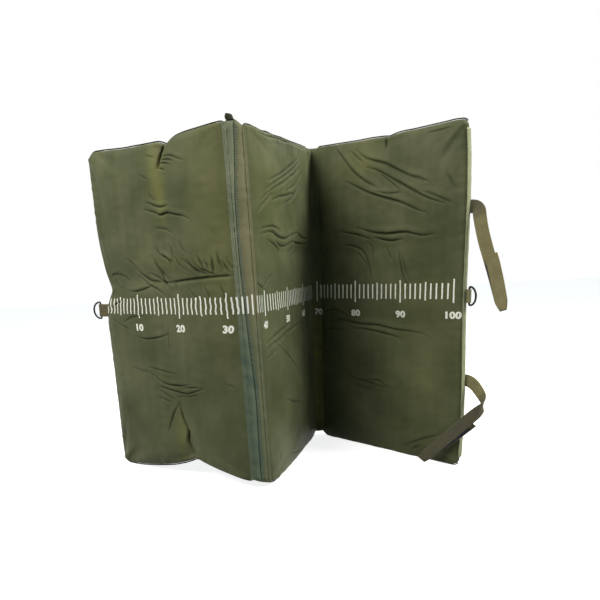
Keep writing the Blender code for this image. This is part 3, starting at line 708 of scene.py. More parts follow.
# Painted light: lighter patches where the cloth's folds face the lamps: (amount, half width, half height, x, z, lean
# in degrees)
PAINTED_LIGHT_PATCHES = {
    1: (
        (0.5, 17, 55, -148, 545, 4), (0.3, 8, 40, -140, 490, 8), (0.28, 45, 210, -20, 480, 0),
        (0.45, 13, 45, -143, 85, -6), (0.16, 60, 20, -120, 388, 0),
    ),
    2: ((0.25, 60, 90, -110, 520, 0),),
    3: ((0.3, 40, 35, 120, 565, -20), (0.14, 60, 160, 260, 200, 0)),
}

PAD_COLUMNS = 76
PAD_ROWS = 140
PAD_LAYERS = 5
CORNER_RADIUS = 0.007
FOLD_CORNER_RADIUS = 0.004
CROWN = 0.0022
# a pad is thinner where it is sewn along the outside of a fold
PILLOW_EDGE = 0.42
PILLOW_REACH = 0.030
PAD_PRESSURE = 4.0
PAD_MOST = 0.0035
# behind this depth a back's swell is pressed to a fifth
BACK_FLAT = 0.0102
BACK_PRESSED = 0.2
FOLD_END_HELD = 0.012
SEAM_THROUGH = 0.4
WELT_RADIUS = 0.0011


def pad_lattice(columns, rows, layers):
    """The surface of a box of cells, as (along, through, up) shares and quads that face outwards."""
    index = {}
    shares = []

    def point(i, j, k):
        key = (i, j, k)
        if key not in index:
            index[key] = len(shares)
            shares.append((i / columns, j / layers, k / rows))
        return index[key]

    faces = []
    for i in range(columns):
        for k in range(rows):
            faces.append((point(i, 0, k), point(i + 1, 0, k), point(i + 1, 0, k + 1), point(i, 0, k + 1)))
            back = (point(i, layers, k), point(i, layers, k + 1), point(i + 1, layers, k + 1), point(i + 1, layers, k))
            faces.append(back)
    for j in range(layers):
        for k in range(rows):
            faces.append((point(0, j, k), point(0, j, k + 1), point(0, j + 1, k + 1), point(0, j + 1, k)))
            far = [(j, k), (j + 1, k), (j + 1, k + 1), (j, k + 1)]
            faces.append(tuple(point(columns, *at) for at in far))
        for i in range(columns):
            faces.append((point(i, j, 0), point(i, j + 1, 0), point(i + 1, j + 1, 0), point(i + 1, j, 0)))
            faces.append((point(i, j, rows), point(i + 1, j, rows), point(i + 1, j + 1, rows), point(i, j + 1, rows)))
    return np.array(shares), faces


def pad_points(pad, shares):
    """The rounded slab of a pad in its own frame, from the shares of its lattice."""
    along, through, up = shares.T
    left = smooth_line(pad["near"], up * MAT_HEIGHT)
    right = smooth_line(pad["far"], up * MAT_HEIGHT)
    x = left + along * (right - left)
    foot = smooth_line(pad["foot"], x)
    top = smooth_line(pad["top"], x)
    z = foot + up * (top - foot)
    y = HALF_THICKNESS * (2 * through - 1)

    # round the corners of the outline, then the edges
    radii = [FOLD_CORNER_RADIUS if fold else CORNER_RADIUS for fold in pad["folds"]]
    radius = np.where(along < 0.5, *radii)
    core_x = np.clip(x, left + radius, right - radius)
    core_z = np.clip(z, foot + radius, top - radius)
    out_x, out_z = x - core_x, z - core_z
    square = np.maximum(abs(out_x), abs(out_z))
    circle = np.maximum(np.hypot(out_x, out_z), 1e-9)
    x = core_x + out_x * square / circle
    z = core_z + out_z * square / circle
    inset = np.maximum(EDGE_RADIUS - (radius - square), 0)
    core_y = np.clip(y, -(HALF_THICKNESS - EDGE_RADIUS), HALF_THICKNESS - EDGE_RADIUS)
    out_y = y - core_y
    reach = np.maximum(np.hypot(inset, out_y), 1e-9)
    scale = np.where((inset > 0) & (abs(out_y) > 0), np.maximum(inset, abs(out_y)) / reach, 1)
    pull = inset * (1 - scale) / circle
    x = x - out_x * pull
    z = z - out_z * pull
    y = core_y + out_y * scale
    crown = CROWN * (1 - (2 * along - 1) ** 4) * (1 - (2 * up - 1) ** 6)
    y = y + np.sign(y) * crown * (abs(out_y) > 0.99 * EDGE_RADIUS)
    for at, side in pad["ridges"]:
        full = PILLOW_EDGE + (1 - PILLOW_EDGE) * smooth_step(abs(x - at) / PILLOW_REACH) ** 0.6
        y = np.where(y * side > 0, y * full, y)
    return np.column_stack((x, y, z))


PAD_CLOTH = {
    "quality": 4,
    "mass": 0.3,
    "tension_stiffness": 25,
    "compression_stiffness": 25,
    "shear_stiffness": 10,
    "bending_stiffness": 0.4,
    "use_pressure": True,
    "uniform_pressure_force": PAD_PRESSURE,
    "vertex_group_mass": "held",
}
CLOTH_FRAMES = 20


def inflate(obj, held, most):
    """Blows the pad up as cloth under pressure, with its seams held, and caps how far it moves."""
    rest = points_of(obj)
    group = obj.vertex_groups.new(name="held")
    for i in np.flatnonzero(held > 0):
        group.add([int(i)], float(held[i]), "REPLACE")
    modifier = obj.modifiers.new("cloth", "CLOTH")
    for key, value in PAD_CLOTH.items():
        setattr(modifier.settings, key, value)
    modifier.settings.effector_weights.gravity = 0
    modifier.point_cache.frame_start = 1
    modifier.point_cache.frame_end = CLOTH_FRAMES
    for number in range(1, CLOTH_FRAMES + 1):
        bpy.context.scene.frame_set(number)
    evaluated = obj.evaluated_get(bpy.context.evaluated_depsgraph_get())
    flat = np.zeros(len(rest) * 3)
    evaluated.data.vertices.foreach_get("co", flat)
    move = flat.reshape(-1, 3) - rest
    length = np.maximum(np.linalg.norm(move, axis=1), 1e-9)
    obj.modifiers.clear()
    obj.vertex_groups.clear()
    bpy.context.scene.frame_set(1)
    set_points(obj, rest + move * (most * np.tanh(length / most) / length)[:, None])


# how deep and how wide a fold's groove is drawn, and how high its lip, as shares of what is listed
CREASE_DEPTH = 2.2
CREASE_WIDTH = 0.36
CREASE_LIP = 0.9
LIP_AWAY = 1.15
FAR_SIDE_LIP = 0.2
# how strongly painted shade darkens the creases' grooves
PAINTED_SHADE_IN_CREASES = 0.72


def line_distance(x, z, line):
    """Distance, side and share along of points to a line of (x, z) points."""
    best = np.full(len(x), 1e9)
    side = np.zeros(len(x))
    share = np.zeros(len(x))
    runs = np.concatenate(([0], np.cumsum(np.hypot(*np.diff(line, axis=0).T))))
    for (ax, az), (bx, bz), run in zip(line, line[1:], runs):
        dx, dz = bx - ax, bz - az
        long = max(hypot(dx, dz), 1e-9)
        t = np.clip(((x - ax) * dx + (z - az) * dz) / long**2, 0, 1)
        away_x, away_z = x - ax - t * dx, z - az - t * dz
        gap = np.hypot(away_x, away_z)
        near = gap < best
        best[near] = gap[near]
        side[near] = np.sign(dx * away_z - dz * away_x)[near]
        share[near] = ((run + t * long) / runs[-1])[near]
    return best, side, share


def refine_creases(obj, creases):
    """Halves the quads near the creases of the printed face, so that the folds come out sharp."""
    points = points_of(obj)
    front = read_attribute(obj, "through") < 0.12
    near = np.zeros(len(points), bool)
    for _, width, _, line in creases:
        route = smooth_route(np.array(line, float) * MM)
        reach = 1.1 * width * MM
        low, high = route.min(0) - reach, route.max(0) + reach
        x, z = points[:, 0], points[:, 2]
        close = np.flatnonzero(front & (x > low[0]) & (x < high[0]) & (z > low[1]) & (z < high[1]))
        near[close[line_distance(x[close], z[close], route)[0] < reach]] = True
    mesh = bmesh.new()
    mesh.from_mesh(obj.data)
    mesh.verts.ensure_lookup_table()
    edges = [edge for edge in mesh.edges if near[edge.verts[0].index] and near[edge.verts[1].index]]
    bmesh.ops.subdivide_edges(mesh, edges=edges, cuts=1, use_grid_fill=True)
    mesh.to_mesh(obj.data)
    mesh.free()
    return obj


def crease_height(x, z, creases):
    """How far creases move the cloth out, and how much painted shade darkens each groove there.

    Each has a groove along its line and a soft lip on one side.
    """
    height, crease_shade_amount = np.zeros(len(x)), np.zeros(len(x))
    for depth, width, lip, points in creases:
        route = smooth_route(np.array(points, float) * MM)
        wide = width * MM
        low, high = route.min(0) - 4.5 * wide, route.max(0) + 4.5 * wide
        near = np.flatnonzero((x > low[0]) & (x < high[0]) & (z > low[1]) & (z < high[1]))
        if not len(near):
            continue
        gap, side, share = line_distance(x[near], z[near], route)
        fade = np.sin(pi * np.clip(share, 0.03, 0.97)) ** 0.6
        groove = -CREASE_DEPTH * np.exp(-((gap / (CREASE_WIDTH * wide)) ** 2))
        swell = CREASE_LIP * np.exp(-(((gap - LIP_AWAY * wide) / wide) ** 2))
        swell = swell * np.where(side * lip > 0, 1.0, FAR_SIDE_LIP)
        height[near] += depth * MM * (groove + swell) * fade
        dark = min(1, 0.3 + 0.3 * depth) if depth > 0 else 0
        crease_shade_amount[near] = np.maximum(crease_shade_amount[near], dark * fade * np.exp(-((gap / (CREASE_WIDTH * wide)) ** 2)))
    return height, crease_shade_amount


def swell_height(x, z, swells):
    height = np.zeros(len(x))
    for rise, wide, tall, at_x, at_z, lean in swells:
        turn = radians(lean)
        away_x, away_z = x - at_x * MM, z - at_z * MM
        u = (away_x * cos(turn) + away_z * sin(turn)) / (wide * MM)
        v = (away_z * cos(turn) - away_x * sin(turn)) / (tall * MM)
        height += rise * MM * np.exp(-(u**2) - v**2)
    return height


def edge_gap(pad, x, z):
    """Distance of points from the pad's nearest sewn free edge, in metres, and the place along it."""
    gaps = [z - smooth_line(pad["foot"], x), smooth_line(pad["top"], x) - z]
    if not pad["folds"][0]:
        gaps.append(x - smooth_line(pad["near"], z))
    if not pad["folds"][1]:
        gaps.append(smooth_line(pad["far"], z) - x)
    gaps = np.array(gaps)
    nearest = np.argmin(gaps, axis=0)
    return np.maximum(gaps.min(axis=0), 0), np.where(nearest < 2, x, z)


def make_pad(number):
    pad = PADS[number]
    part = f"panel_{number}"
    shares, faces = pad_lattice(PAD_COLUMNS, PAD_ROWS, PAD_LAYERS)
    obj = mesh_object(f"pad_{number}", pad_points(pad, shares), faces)
    rest = points_of(obj)
    for axis, name in ((1, "through"), (0, "along"), (2, "up")):
        write_attribute(obj, name, shares[:, axis])
    place_on_cloth(obj, rest[:, 0], rest[:, 2])
    rim = (shares[:, 0] % 1 == 0) | (shares[:, 2] % 1 == 0)
    held = np.where(rim & (abs(shares[:, 1] - SEAM_THROUGH) < 0.05), 1.0, 0.0)
    for fold, at in zip(pad["folds"], (pad["start"], pad["end"])):
        if fold:
            held = np.maximum(held, abs(rest[:, 0] - at) < FOLD_END_HELD)
    inflate(obj, held, PAD_MOST)
    refine_creases(subdivide(obj), CREASES[number])
    points = points_of(obj)
    x, z = points[:, 0].copy(), points[:, 2].copy()
    through = read_attribute(obj, "through")
    # the backs lie flatter than the fronts, so that they meet when the mat is folded
    bulge = points[:, 1] - BACK_FLAT
    points[:, 1] = np.where(bulge > 0, BACK_FLAT + BACK_PRESSED * bulge, points[:, 1])
    front = smooth_step((0.45 - through) / 0.34)
    back = smooth_step((through - 0.55) / 0.34)
    gap, run = edge_gap(pad, x, z)
    inside = smooth_step(gap / 0.012)
    fold_gap = np.full(len(x), 1.0)
    for fold, at in zip(pad["folds"], (pad["start"], pad["end"])):
        if fold:
            fold_gap = np.minimum(fold_gap, abs(x - at))
    inside = inside * smooth_step((fold_gap - 0.004) / 0.012)
    height, crease_shade_amount = crease_height(x, z, CREASES[number])
    height *= 0.35 + 0.65 * inside
    height += 1.5 * swell_height(x, z, SWELLS[number]) * inside
    height += 0.0006 * ripple(x, z, 40 + number, 0.11, 0.08) * inside
    height += 0.00022 * ripple(x, z, 50 + number, 0.045, 0.022) * inside
    puckers = ripple(run, run * 0, 60 + number, 0.021, 1.0) * np.exp(-((gap / 0.016) ** 2)) * smooth_step(gap / 0.004)
    height += 0.0008 * puckers
    hollow = 0.0009 * ripple(x, z, 70 + number, 0.13, 0.10) * inside + 0.0006 * puckers
    # on the front only: painted shade in the creases' grooves, and painted light on the patches where folds catch the
    # light
    write_attribute(obj, "painted_crease_shade", PAINTED_SHADE_IN_CREASES * crease_shade_amount * front)
    write_attribute(obj, "painted_light_and_shade", np.clip(swell_height(x, z, PAINTED_LIGHT_PATCHES[number]) / MM, 0, 1) * front)
    points[:, 1] += -height * front + hollow * back
    points[:, 2] = np.maximum(points[:, 2], 0.0002)
    set_points(obj, to_world(part, points))
    finish_piece(obj, COVER_CLOTH, pad["body"])
    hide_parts(f"{part}_front_cover", f"{part}_back_cover", f"{part}_foam")
    return obj


# Seams round the pads

def seam_routes(number, pad_obj):
    """The pad's sewn edge as it now stands: round its free end, or along its foot and its top."""
    through = read_attribute(pad_obj, "through")
    along = read_attribute(pad_obj, "along")
    up = read_attribute(pad_obj, "up")
    points = points_of(pad_obj)
    seam = abs(through - SEAM_THROUGH) < 1e-4
    foot = (seam & (up < 1e-4), along)
    top = (seam & (up > 1 - 1e-4), -along)
    near = (seam & (along < 1e-4), -up)
    order = {1: (top, near, foot), 2: (foot, top), 3: (foot, top)}[number]
    routes = []
    for chosen, place in order:
        picked = np.flatnonzero(chosen)
        routes.append(points[picked[np.argsort(place[picked])]])
    if number > 1:
        return routes
    return [np.vstack([routes[0], routes[1][1:], routes[2][1:]])]


def make_seams(number, pad_obj):
    """A thin welt along each sewn edge, in near-black cloth that is painted shade where the edge turns away."""
    centre = points_of(pad_obj).mean(0)
    turn = FRAMES[f"panel_{number}"][1]
    through_way = (-sin(turn), cos(turn), 0)
    for i, route in enumerate(seam_routes(number, pad_obj)):
        route = even_route(route, 0.003)
        outward = unit_rows(np.cross(np.gradient(route, axis=0), through_way))
        outward *= np.sign(np.sum(outward * (route - centre), axis=1))[:, None]
        wave = ripple(np.arange(len(route)) * 0.003, 0, 80 + number, 0.05, 1.0)
        route = route + outward * (0.0015 + 0.0002 * wave[:, None])
        route[:, 2] = np.maximum(route[:, 2], WELT_RADIUS + 0.0001)
        welt = sweep(f"seam_{number}_{'ab'[i]}", route, round_section(WELT_RADIUS, 8), through_way)
        place_on_cloth(welt, points_of(welt)[:, 0], points_of(welt)[:, 2])
        finish_piece(welt, DARK_SEAM_AND_PAINTED_EDGE_SHADE, PADS[number]["body"])


BINDING_BEND = 0.31
BINDING_RADIUS = 0.0205
BINDING_THICKNESS = 0.0009
BINDING_OUT = 0.0015


def make_end_binding(number, pad_obj):
    """Pale tape bent over the right-hand end of the mat, from its foot to its top: painted light on the end wall that
    the right lamp lights.
    """
    through = read_attribute(pad_obj, "through")
    along = read_attribute(pad_obj, "along")
    up = read_attribute(pad_obj, "up")
    at_end = along > 1 - 1e-4
    picked = np.flatnonzero(at_end & (abs(through - 0.5) < 0.051) & (up > 0.016) & (up < 0.984))
    points = points_of(pad_obj)[picked]
    heights = np.linspace(points[:, 2].min() + 0.002, points[:, 2].max() - 0.002, 190)
    order = np.argsort(points[:, 2])
    route = np.column_stack([np.interp(heights, points[order, 2], points[order, axis]) for axis in (0, 1, 2)])
    turn = FRAMES[f"panel_{number}"][1]
    outward = np.array((cos(turn), sin(turn), 0))
    bend = np.linspace(-BINDING_BEND, BINDING_BEND, 13)
    outer, inner = [
        np.column_stack((radius * np.sin(bend), radius * np.cos(bend) - BINDING_RADIUS))
        for radius in (BINDING_RADIUS, BINDING_RADIUS - BINDING_THICKNESS)
    ]
    section = np.vstack((outer[::-1], inner))
    route = route + outward * (BINDING_OUT + 0.0002 * ripple(heights, 0, 90 + number, 0.04, 1.0)[:, None])
    tape = sweep(f"painted_light_end_band_{number}", route, section, outward)
    place_on_cloth(tape, np.repeat(heights, len(section)), np.tile(section[:, 0] + 0.02, len(heights)))
    finish_piece(tape, END_TAPE_PAINTED_LIGHT, PADS[number]["body"])


# Fold strips: cloth that turns between two pads, with a stitched crease down the middle

STRIP_FOOT = 0.009
STRIP_TOP = 0.5985
# across each strip, in mm: how far its top stands above STRIP_TOP, and its foot above STRIP_FOOT.
# The ridge is highest at its seam and its foot rises towards the left pad
STRIP_TOPS = {1: ((0, 0), (10, 4), (14, 4), (28, -5)), 2: ((0, 8.5), (14, 7.5), (28, 8.5))}
STRIP_FEET = {1: ((0, 9), (12, 4), (28, 0)), 2: ((0, 0), (14, 0), (28, 0))}
STRIP_ROWS = 150
# where the ridge's crease lies at each height in mm, in thousandths of the way across
CREASE_SHARES = ((0, 500), (71, 500), (164, 550), (297, 330), (406, 210), (481, 250), (575, 470), (600, 500))
STRIP_BLEND = 0.0055


def beside_hinge(x, depth, turn, valley):
    """A point of the left pad's frame (from its hinge, depth out of the face) in the strip's own."""
    if valley:
        return x * cos(turn) + depth * sin(turn), -x * sin(turn) + depth * cos(turn)
    return x * cos(turn) - depth * sin(turn), x * sin(turn) + depth * cos(turn)


def strip_section(turn, valley, crease):
    """Half a strip's section in mm, from inside the pad's edge to the crease."""
    if valley:
        near = [beside_hinge(x, d, turn, True) for x, d in ((-13, 9.0), (-9.5, 10.1), (-5, 10.9), (1, 11.2))]
        return [*near, (crease, 0.7)]
    near = [beside_hinge(x, d, turn, False) for x, d in ((-4.5, 3.4), (-2.4, 3.6))]
    puff = 1.5 + 0.12 * crease
    middle = [(0.5 * crease, puff), (crease - 1.3, 1.5), (crease, 0.1)]
    return [*near, (-2.2, 0.6), (-1.0, 1.1), (0, 1.8), (1.1, 1.0), (2.2, 1.1), *middle]


def make_half_strip(number, layer, half, valley):
    """One quarter of a fold: a layer's half, from its pad to the crease, on the given side."""
    part = f"strip_{number}"
    turn = abs(FRAMES["panel_2"][1] - FRAMES[part][1])
    side = -1 if layer == "front" else 1
    heights = np.linspace(STRIP_FOOT, STRIP_TOP, STRIP_ROWS)
    rows = []
    for z in heights:
        share = 0.5
        if number == 1 and layer == "front":
            share = float(smooth_line(CREASE_SHARES, z))
        crease = STRIP_WIDTH / MM * (share if half == "a" else 1 - share)
        route = smooth_route(strip_section(turn, valley, crease), 4) * MM
        end = float(smooth_step(min(z - STRIP_FOOT, STRIP_TOP - z) / 0.006))
        route[:, 1] = np.where(route[:, 0] > -0.001, 0.0003 + (route[:, 1] - 0.0003) * end, route[:, 1])
        rows.append(route)
    grid = np.array(rows)
    count = grid.shape[1]
    run = np.linspace(0, 1, count)
    middle = np.sin(pi * run) ** 2
    seed = 10 * number + len(layer) + (half == "b")
    for k in range(count):
        grid[:, k, 1] += 0.0005 * middle[k] * ripple(heights, heights * 0 + run[k] * 0.01, seed, 0.017, 0.02)
        grid[:, k, 1] += 0.0003 * middle[k] * ripple(heights, 0, seed + 1, 0.06, 1.0)
    s = grid[:, :, 0] if half == "a" else STRIP_WIDTH - grid[:, :, 0]
    z = np.repeat(heights[:, None], count, 1)
    rise = smooth_line(STRIP_TOPS[number], s)
    lift = smooth_line(STRIP_FEET[number], s) * (1 - smooth_step((z - STRIP_FOOT) / 0.12))
    z = z + rise * smooth_step((z - 0.45) / (STRIP_TOP - 0.45)) ** 2 + lift
    local = np.stack((s, side * grid[:, :, 1], z), axis=2).reshape(-1, 3)
    faces = []
    for i in range(STRIP_ROWS - 1):
        for k in range(count - 1):
            quad = (i * count + k, i * count + k + 1, (i + 1) * count + k + 1, (i + 1) * count + k)
            faces.append(quad if (side < 0) == (half == "a") else quad[::-1])
    obj = mesh_object(f"fold_{number}_{layer}_{half}", to_world(part, local), faces)
    place_on_cloth(obj, local[:, 0], local[:, 2])
    # tinted towards the strip's foot: on the ridge strip darker and bluer, as painted shade; the strips in cover cloth
    # turn lighter there
    painted_tone = 0.75 * smooth_step((0.36 - local[:, 2]) / 0.14) * smooth_step(local[:, 2] / 0.05)
    write_attribute(obj, "painted_light_and_shade", painted_tone * (0.7 + 0.3 * ripple(local[:, 0], local[:, 2], 7, 0.05, 0.03)))
    return obj


def strip_blend(obj, half, valley):
    """Bakes a piece of a strip into place; the span of its hinge, from the pad to the middle of the strip, is worked
    out but not used.
    """
    low, high = (0.0035, 0.0125) if valley else (-STRIP_BLEND, STRIP_BLEND)
    if half == "b":
        low, high = STRIP_WIDTH - low, STRIP_WIDTH - high
    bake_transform(obj)


def make_strips():
    made = {}
    for number in (1, 2):
        for layer in ("front", "back"):
            valley = (number == 1) == (layer == "back")
            for half in ("a", "b"):
                obj = make_half_strip(number, layer, half, valley)
                ridge = (number, layer) == (1, "front")
                # the ridge's two halves: cool painted shade on the left, warm painted light on the right
                cloth = (RIDGE_NYLON_LEFT_PAINTED_SHADE if half == "a" else RIDGE_NYLON_RIGHT_PAINTED_LIGHT) if ridge else COVER_CLOTH
                finish_piece(obj, cloth, None)
                if half == "a":
                    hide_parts(f"fold_strip_{number}_{layer}")
                made[(number, layer, half)] = (obj, valley)
    return made


# Webbing: the ring loops and the closing straps, on the routes that their solids take

STRAP_WEBBING = 0.0014
# the selvedges curl, so that the webbing hangs narrower than it lies flat
CURLED_WIDTH = 0.0222
LAYER_GAP = 0.0003
STRAP_TUCK = 0.0005
STRAP_EYE = 0.0082
PATCH_WIDTH = 0.0195
PATCH_THICKNESS = 0.001
RIB_PITCH = 0.0022
UPPER_SWING = radians(12)
UPPER_OUT = 0.0025
UPPER_TURN_RADIUS = 0.0135
UPPER_TURN = radians(82)
UPPER_HANG = 0.072
UPPER_SPREAD = radians(9)
UPPER_LAP = 0.089
UPPER_SLIP = -0.005
UPPER_TWIST = radians(5)
UPPER_WAVE = 0.0018
# painted shade: darker where it leaves the seam and in the shadow where the folded end lies over it
UPPER_PAINTED_SHADE = ((0, 0.85), (0.02, 0.6), (0.034, 0.05), (0.1, 0), (0.108, 0.7), (0.185, 0.7), (0.195, 0))
UPPER_STEPS = 6
LOWER_REACH = 0.042
LOWER_FORWARD = 0.050
LOWER_DROP = 0.143
LOWER_EASE = 0.022
LOWER_SLIP = 0.009
LOWER_TWIST = radians(-18)
LOWER_SHADE = ((0, 0.1), (0.035, 0), (0.062, 0.75))
# the lower strap's plan, as shares of its reach outwards and of its way forwards
LOWER_SHARES = (
    (0.45, -0.01), (0.85, 0.08), (1, 0.27), (0.84, 0.45),
    (0.34, 0.587), (-0.16, 0.725), (-0.66, 0.862), (-1.16, 1),
)
LOWER_STEPS = 10
RING_WIRE = 0.0036
RING_TALL = 0.0316
RING_DEEP = 0.0200
RING_CORNER = 0.003
RING_CLEARANCE = 0.0003
LOOP_WEBBING = 0.0013
LOOP_WIDTH = 0.024
LOOP_LAYERS_APART = 0.0004
FINE = 6
BAND_STEP = 0.00055


def band_frames(path, widths):
    """The centre, width direction and normal of a flat band at each point of its path."""
    path = np.asarray(path, float)
    ahead = unit_rows(np.gradient(path, axis=0))
    level = square_to(np.asarray(widths, float), ahead)
    return path, level, np.cross(ahead, level)


def flat_section(width, thickness):
    """A flat band's section with rounded edges, as (across, through)."""
    half, round_off = width / 2 - thickness / 2, thickness / 2
    across = np.linspace(half, -half, 9)
    turns = np.linspace(pi / 2, -pi / 2, 5)[1:-1]
    top = [(x, round_off) for x in across]
    left = [(-half - round_off * cos(t), round_off * sin(t)) for t in turns]
    foot = [(-x, -round_off) for x in across]
    right = [(half + round_off * cos(t), -round_off * sin(t)) for t in turns]
    return np.array(top + left + foot + right)


def make_band(name, place, path, widths, size, ribs, material, body, lift=0.0, narrow=None, shade=None):
    """A woven band along a path of its own frame, with ribs across it. place is (origin, heading).

    narrow is (where, reach, share) of a place that is pulled in, and shade lists (run, darkness).
    """
    path = smooth_route(path, FINE)
    widths = smooth_route(widths, FINE)
    runs = run_lengths(path)
    at = np.linspace(0, runs[-1], int(runs[-1] / BAND_STEP) + 1)
    path = np.column_stack([np.interp(at, runs, axis) for axis in path.T])
    widths = np.column_stack([np.interp(at, runs, axis) for axis in widths.T])
    path, level, normal = band_frames(path, widths)
    section = np.repeat(flat_section(*size)[None], len(path), 0)
    rib = 1 - ribs * (0.5 - 0.5 * np.cos(2 * pi * at / RIB_PITCH))
    section[:, :, 1] *= rib[:, None]
    section[:, :, 1] += lift
    # the selvedges wander a little
    section[:, :, 0] *= 1 + 0.008 * ripple(at, at * 0, len(path), 0.03, 1.0)[:, None]
    if narrow:
        where, reach, share = narrow
        section[:, :, 0] *= (1 - share * np.exp(-(((at - where) / reach) ** 2)))[:, None]
    origin, turn = place
    turned = np.array(((cos(turn), -sin(turn), 0), (sin(turn), cos(turn), 0), (0, 0, 1)))
    world = path @ turned.T + np.array(origin)
    obj = sweep(name, world, section, normal @ turned.T)
    count = section.shape[1]
    place_on_cloth(obj, np.repeat(at, count), section[:, :, 0].ravel() + size[0])
    if shade:
        write_attribute(obj, "shade", np.repeat(np.interp(at, *np.transpose(shade)), count))
    return finish_piece(obj, material, body)


def turn_band(path, widths, start, end, most):
    """Turns a band about its own run, from nothing at the run start to the angle most at the run end."""
    points, levels, normals = band_frames(path, widths)
    runs = run_lengths(points)
    angles = (most * smooth_step((runs - start) / (end - start)))[:, None]
    return levels * np.cos(angles) + normals * np.sin(angles)


def fold_back(path, widths, steps, slip):
    """Carries a strap round an eye at its tip and back over its last steps, slipping sideways."""
    points, levels, normals = band_frames(path, widths)
    tip, across, normal = points[-1], levels[-1], normals[-1]
    along = np.cross(across, normal)
    stack = STRAP_WEBBING + 2 * PATCH_THICKNESS + 3 * LAYER_GAP
    path, widths = list(path), list(widths)
    for k in range(1, 8):
        turn = pi * k / 8
        swell = (STRAP_EYE - stack) / 4 * sin(turn) * sin(2 * turn)
        path.append(tip + along * (STRAP_EYE * sin(turn)) + normal * (stack / 2 * (1 - cos(turn)) - swell))
        widths.append(across)
    for k in range(steps + 1):
        path.append(points[-1 - k] + normals[-1 - k] * stack - levels[-1 - k] * (slip * sin(pi / 2 * k / steps)))
        widths.append(levels[-1 - k])
    return np.array(path), np.array(widths)


def make_strap(name, place, path, widths, steps, pull_in, shade):
    """A closing strap: its webbing, and the hook and loop tape on the layers that lie together."""
    runs = run_lengths(smooth_route(path, FINE))
    size = (CURLED_WIDTH, STRAP_WEBBING)
    narrow = (runs[(len(path) - steps - 5) * FINE], 0.012, pull_in)
    strap = make_band(
        name + "_webbing", place, path, widths, size, 0.16, STRAP_CLOTH, name, 0.0, narrow, shade
    )
    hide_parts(name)
    levels = band_frames(path, widths)[1]
    lift = (STRAP_WEBBING + PATCH_THICKNESS) / 2 + LAYER_GAP
    back = len(path) - steps
    tip = back - 9
    size = (PATCH_WIDTH, PATCH_THICKNESS)
    for kind, first, last in (("loop", tip - steps + 1, tip - 1), ("hook", back, len(path) - 2)):
        span = slice(first, last + 1)
        tape = make_band(
            f"{name}_{kind}_tape", place, path[span], levels[span], size, 0.0, TAPE, name, lift
        )
        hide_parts(f"{name}_{kind}_patch")


def make_upper_strap():
    """Hangs from the end of the mat, its end folded back up in front."""
    path = [(-STRAP_TUCK, 0, 0), (UPPER_OUT, 0, 0)]
    widths = [(0, 0, 1)] * 2
    for k in range(1, 9):
        turn = UPPER_TURN * k / 8
        path.append((UPPER_OUT + UPPER_TURN_RADIUS * sin(turn), 0, -UPPER_TURN_RADIUS * (1 - cos(turn))))
        widths.append((sin(turn), 0, cos(turn)))
    for length, spread in ((UPPER_HANG, UPPER_SPREAD), (UPPER_LAP, 0)):
        for _ in range(UPPER_STEPS):
            turn -= spread / UPPER_STEPS
            x, _, z = path[-1]
            path.append((x + cos(turn) * length / UPPER_STEPS, 0, z - sin(turn) * length / UPPER_STEPS))
            widths.append((sin(turn), 0, cos(turn)))
    path = np.array(path)
    path[:, 1] += UPPER_WAVE * np.sin(np.linspace(0, 3.2 * pi, len(path)))
    widths = turn_band(path, widths, 0.012, 0.05, UPPER_TWIST)
    path, widths = fold_back(path, widths, UPPER_STEPS, UPPER_SLIP)
    place = (joint_at["upper_strap_swing"], FRAMES["panel_3"][1] + UPPER_SWING)
    make_strap("upper_strap", place, path, widths, UPPER_STEPS, 0.5, UPPER_PAINTED_SHADE)


def make_lower_strap():
    """Swings out and back round in front of the mat's corner, falling to the ground."""
    plan = [(STRAP_TUCK, 0, 0)]
    plan += [(out * LOWER_REACH, -forward * LOWER_FORWARD, 0) for out, forward in LOWER_SHARES]
    path = smooth_route(plan, 3)
    runs = run_lengths(path)
    fall = LOWER_DROP / (runs[-1] - LOWER_EASE / 2)
    path[:, 2] = -fall * np.where(runs < LOWER_EASE, runs**2 / (2 * LOWER_EASE), runs - LOWER_EASE / 2)
    path = np.vstack(((-STRAP_TUCK, 0, 0), path))
    widths = np.tile((0.0, 0.0, 1.0), (len(path), 1))
    widths = turn_band(path, widths, 0.03, 0.075, LOWER_TWIST)
    path, widths = fold_back(path, widths, LOWER_STEPS, LOWER_SLIP)
    place = (joint_at["lower_strap_swing"], FRAMES["panel_3"][1])
    make_strap("lower_strap", place, path, widths, LOWER_STEPS, 0.3, LOWER_SHADE)


def make_ring_loop(side, place, reach, material):
    """Webbing folded round the ring's bar and sewn into the end seam."""
    eye = RING_WIRE / 2 + RING_CLEARANCE + LOOP_WEBBING / 2
    root = (LOOP_WEBBING + LOOP_LAYERS_APART) / 2
    start = reach - LAYER_GAP
    lean = (eye - root) / hypot(start, eye - root)
    wrap = [pi / 2 + lean - (pi + 2 * lean) * k / 8 for k in range(9)]
    path = [(-start, root, 0), *((eye * cos(turn), eye * sin(turn), 0) for turn in wrap), (-start, -root, 0)]
    widths = [(0, 0, 1)] * len(path)
    size = (LOOP_WIDTH, LOOP_WEBBING)
    loop = make_band(f"ring_webbing_{side}", place, path, widths, size, 0.12, material, f"{side}_panel")
    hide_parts(f"ring_loop_{side}")


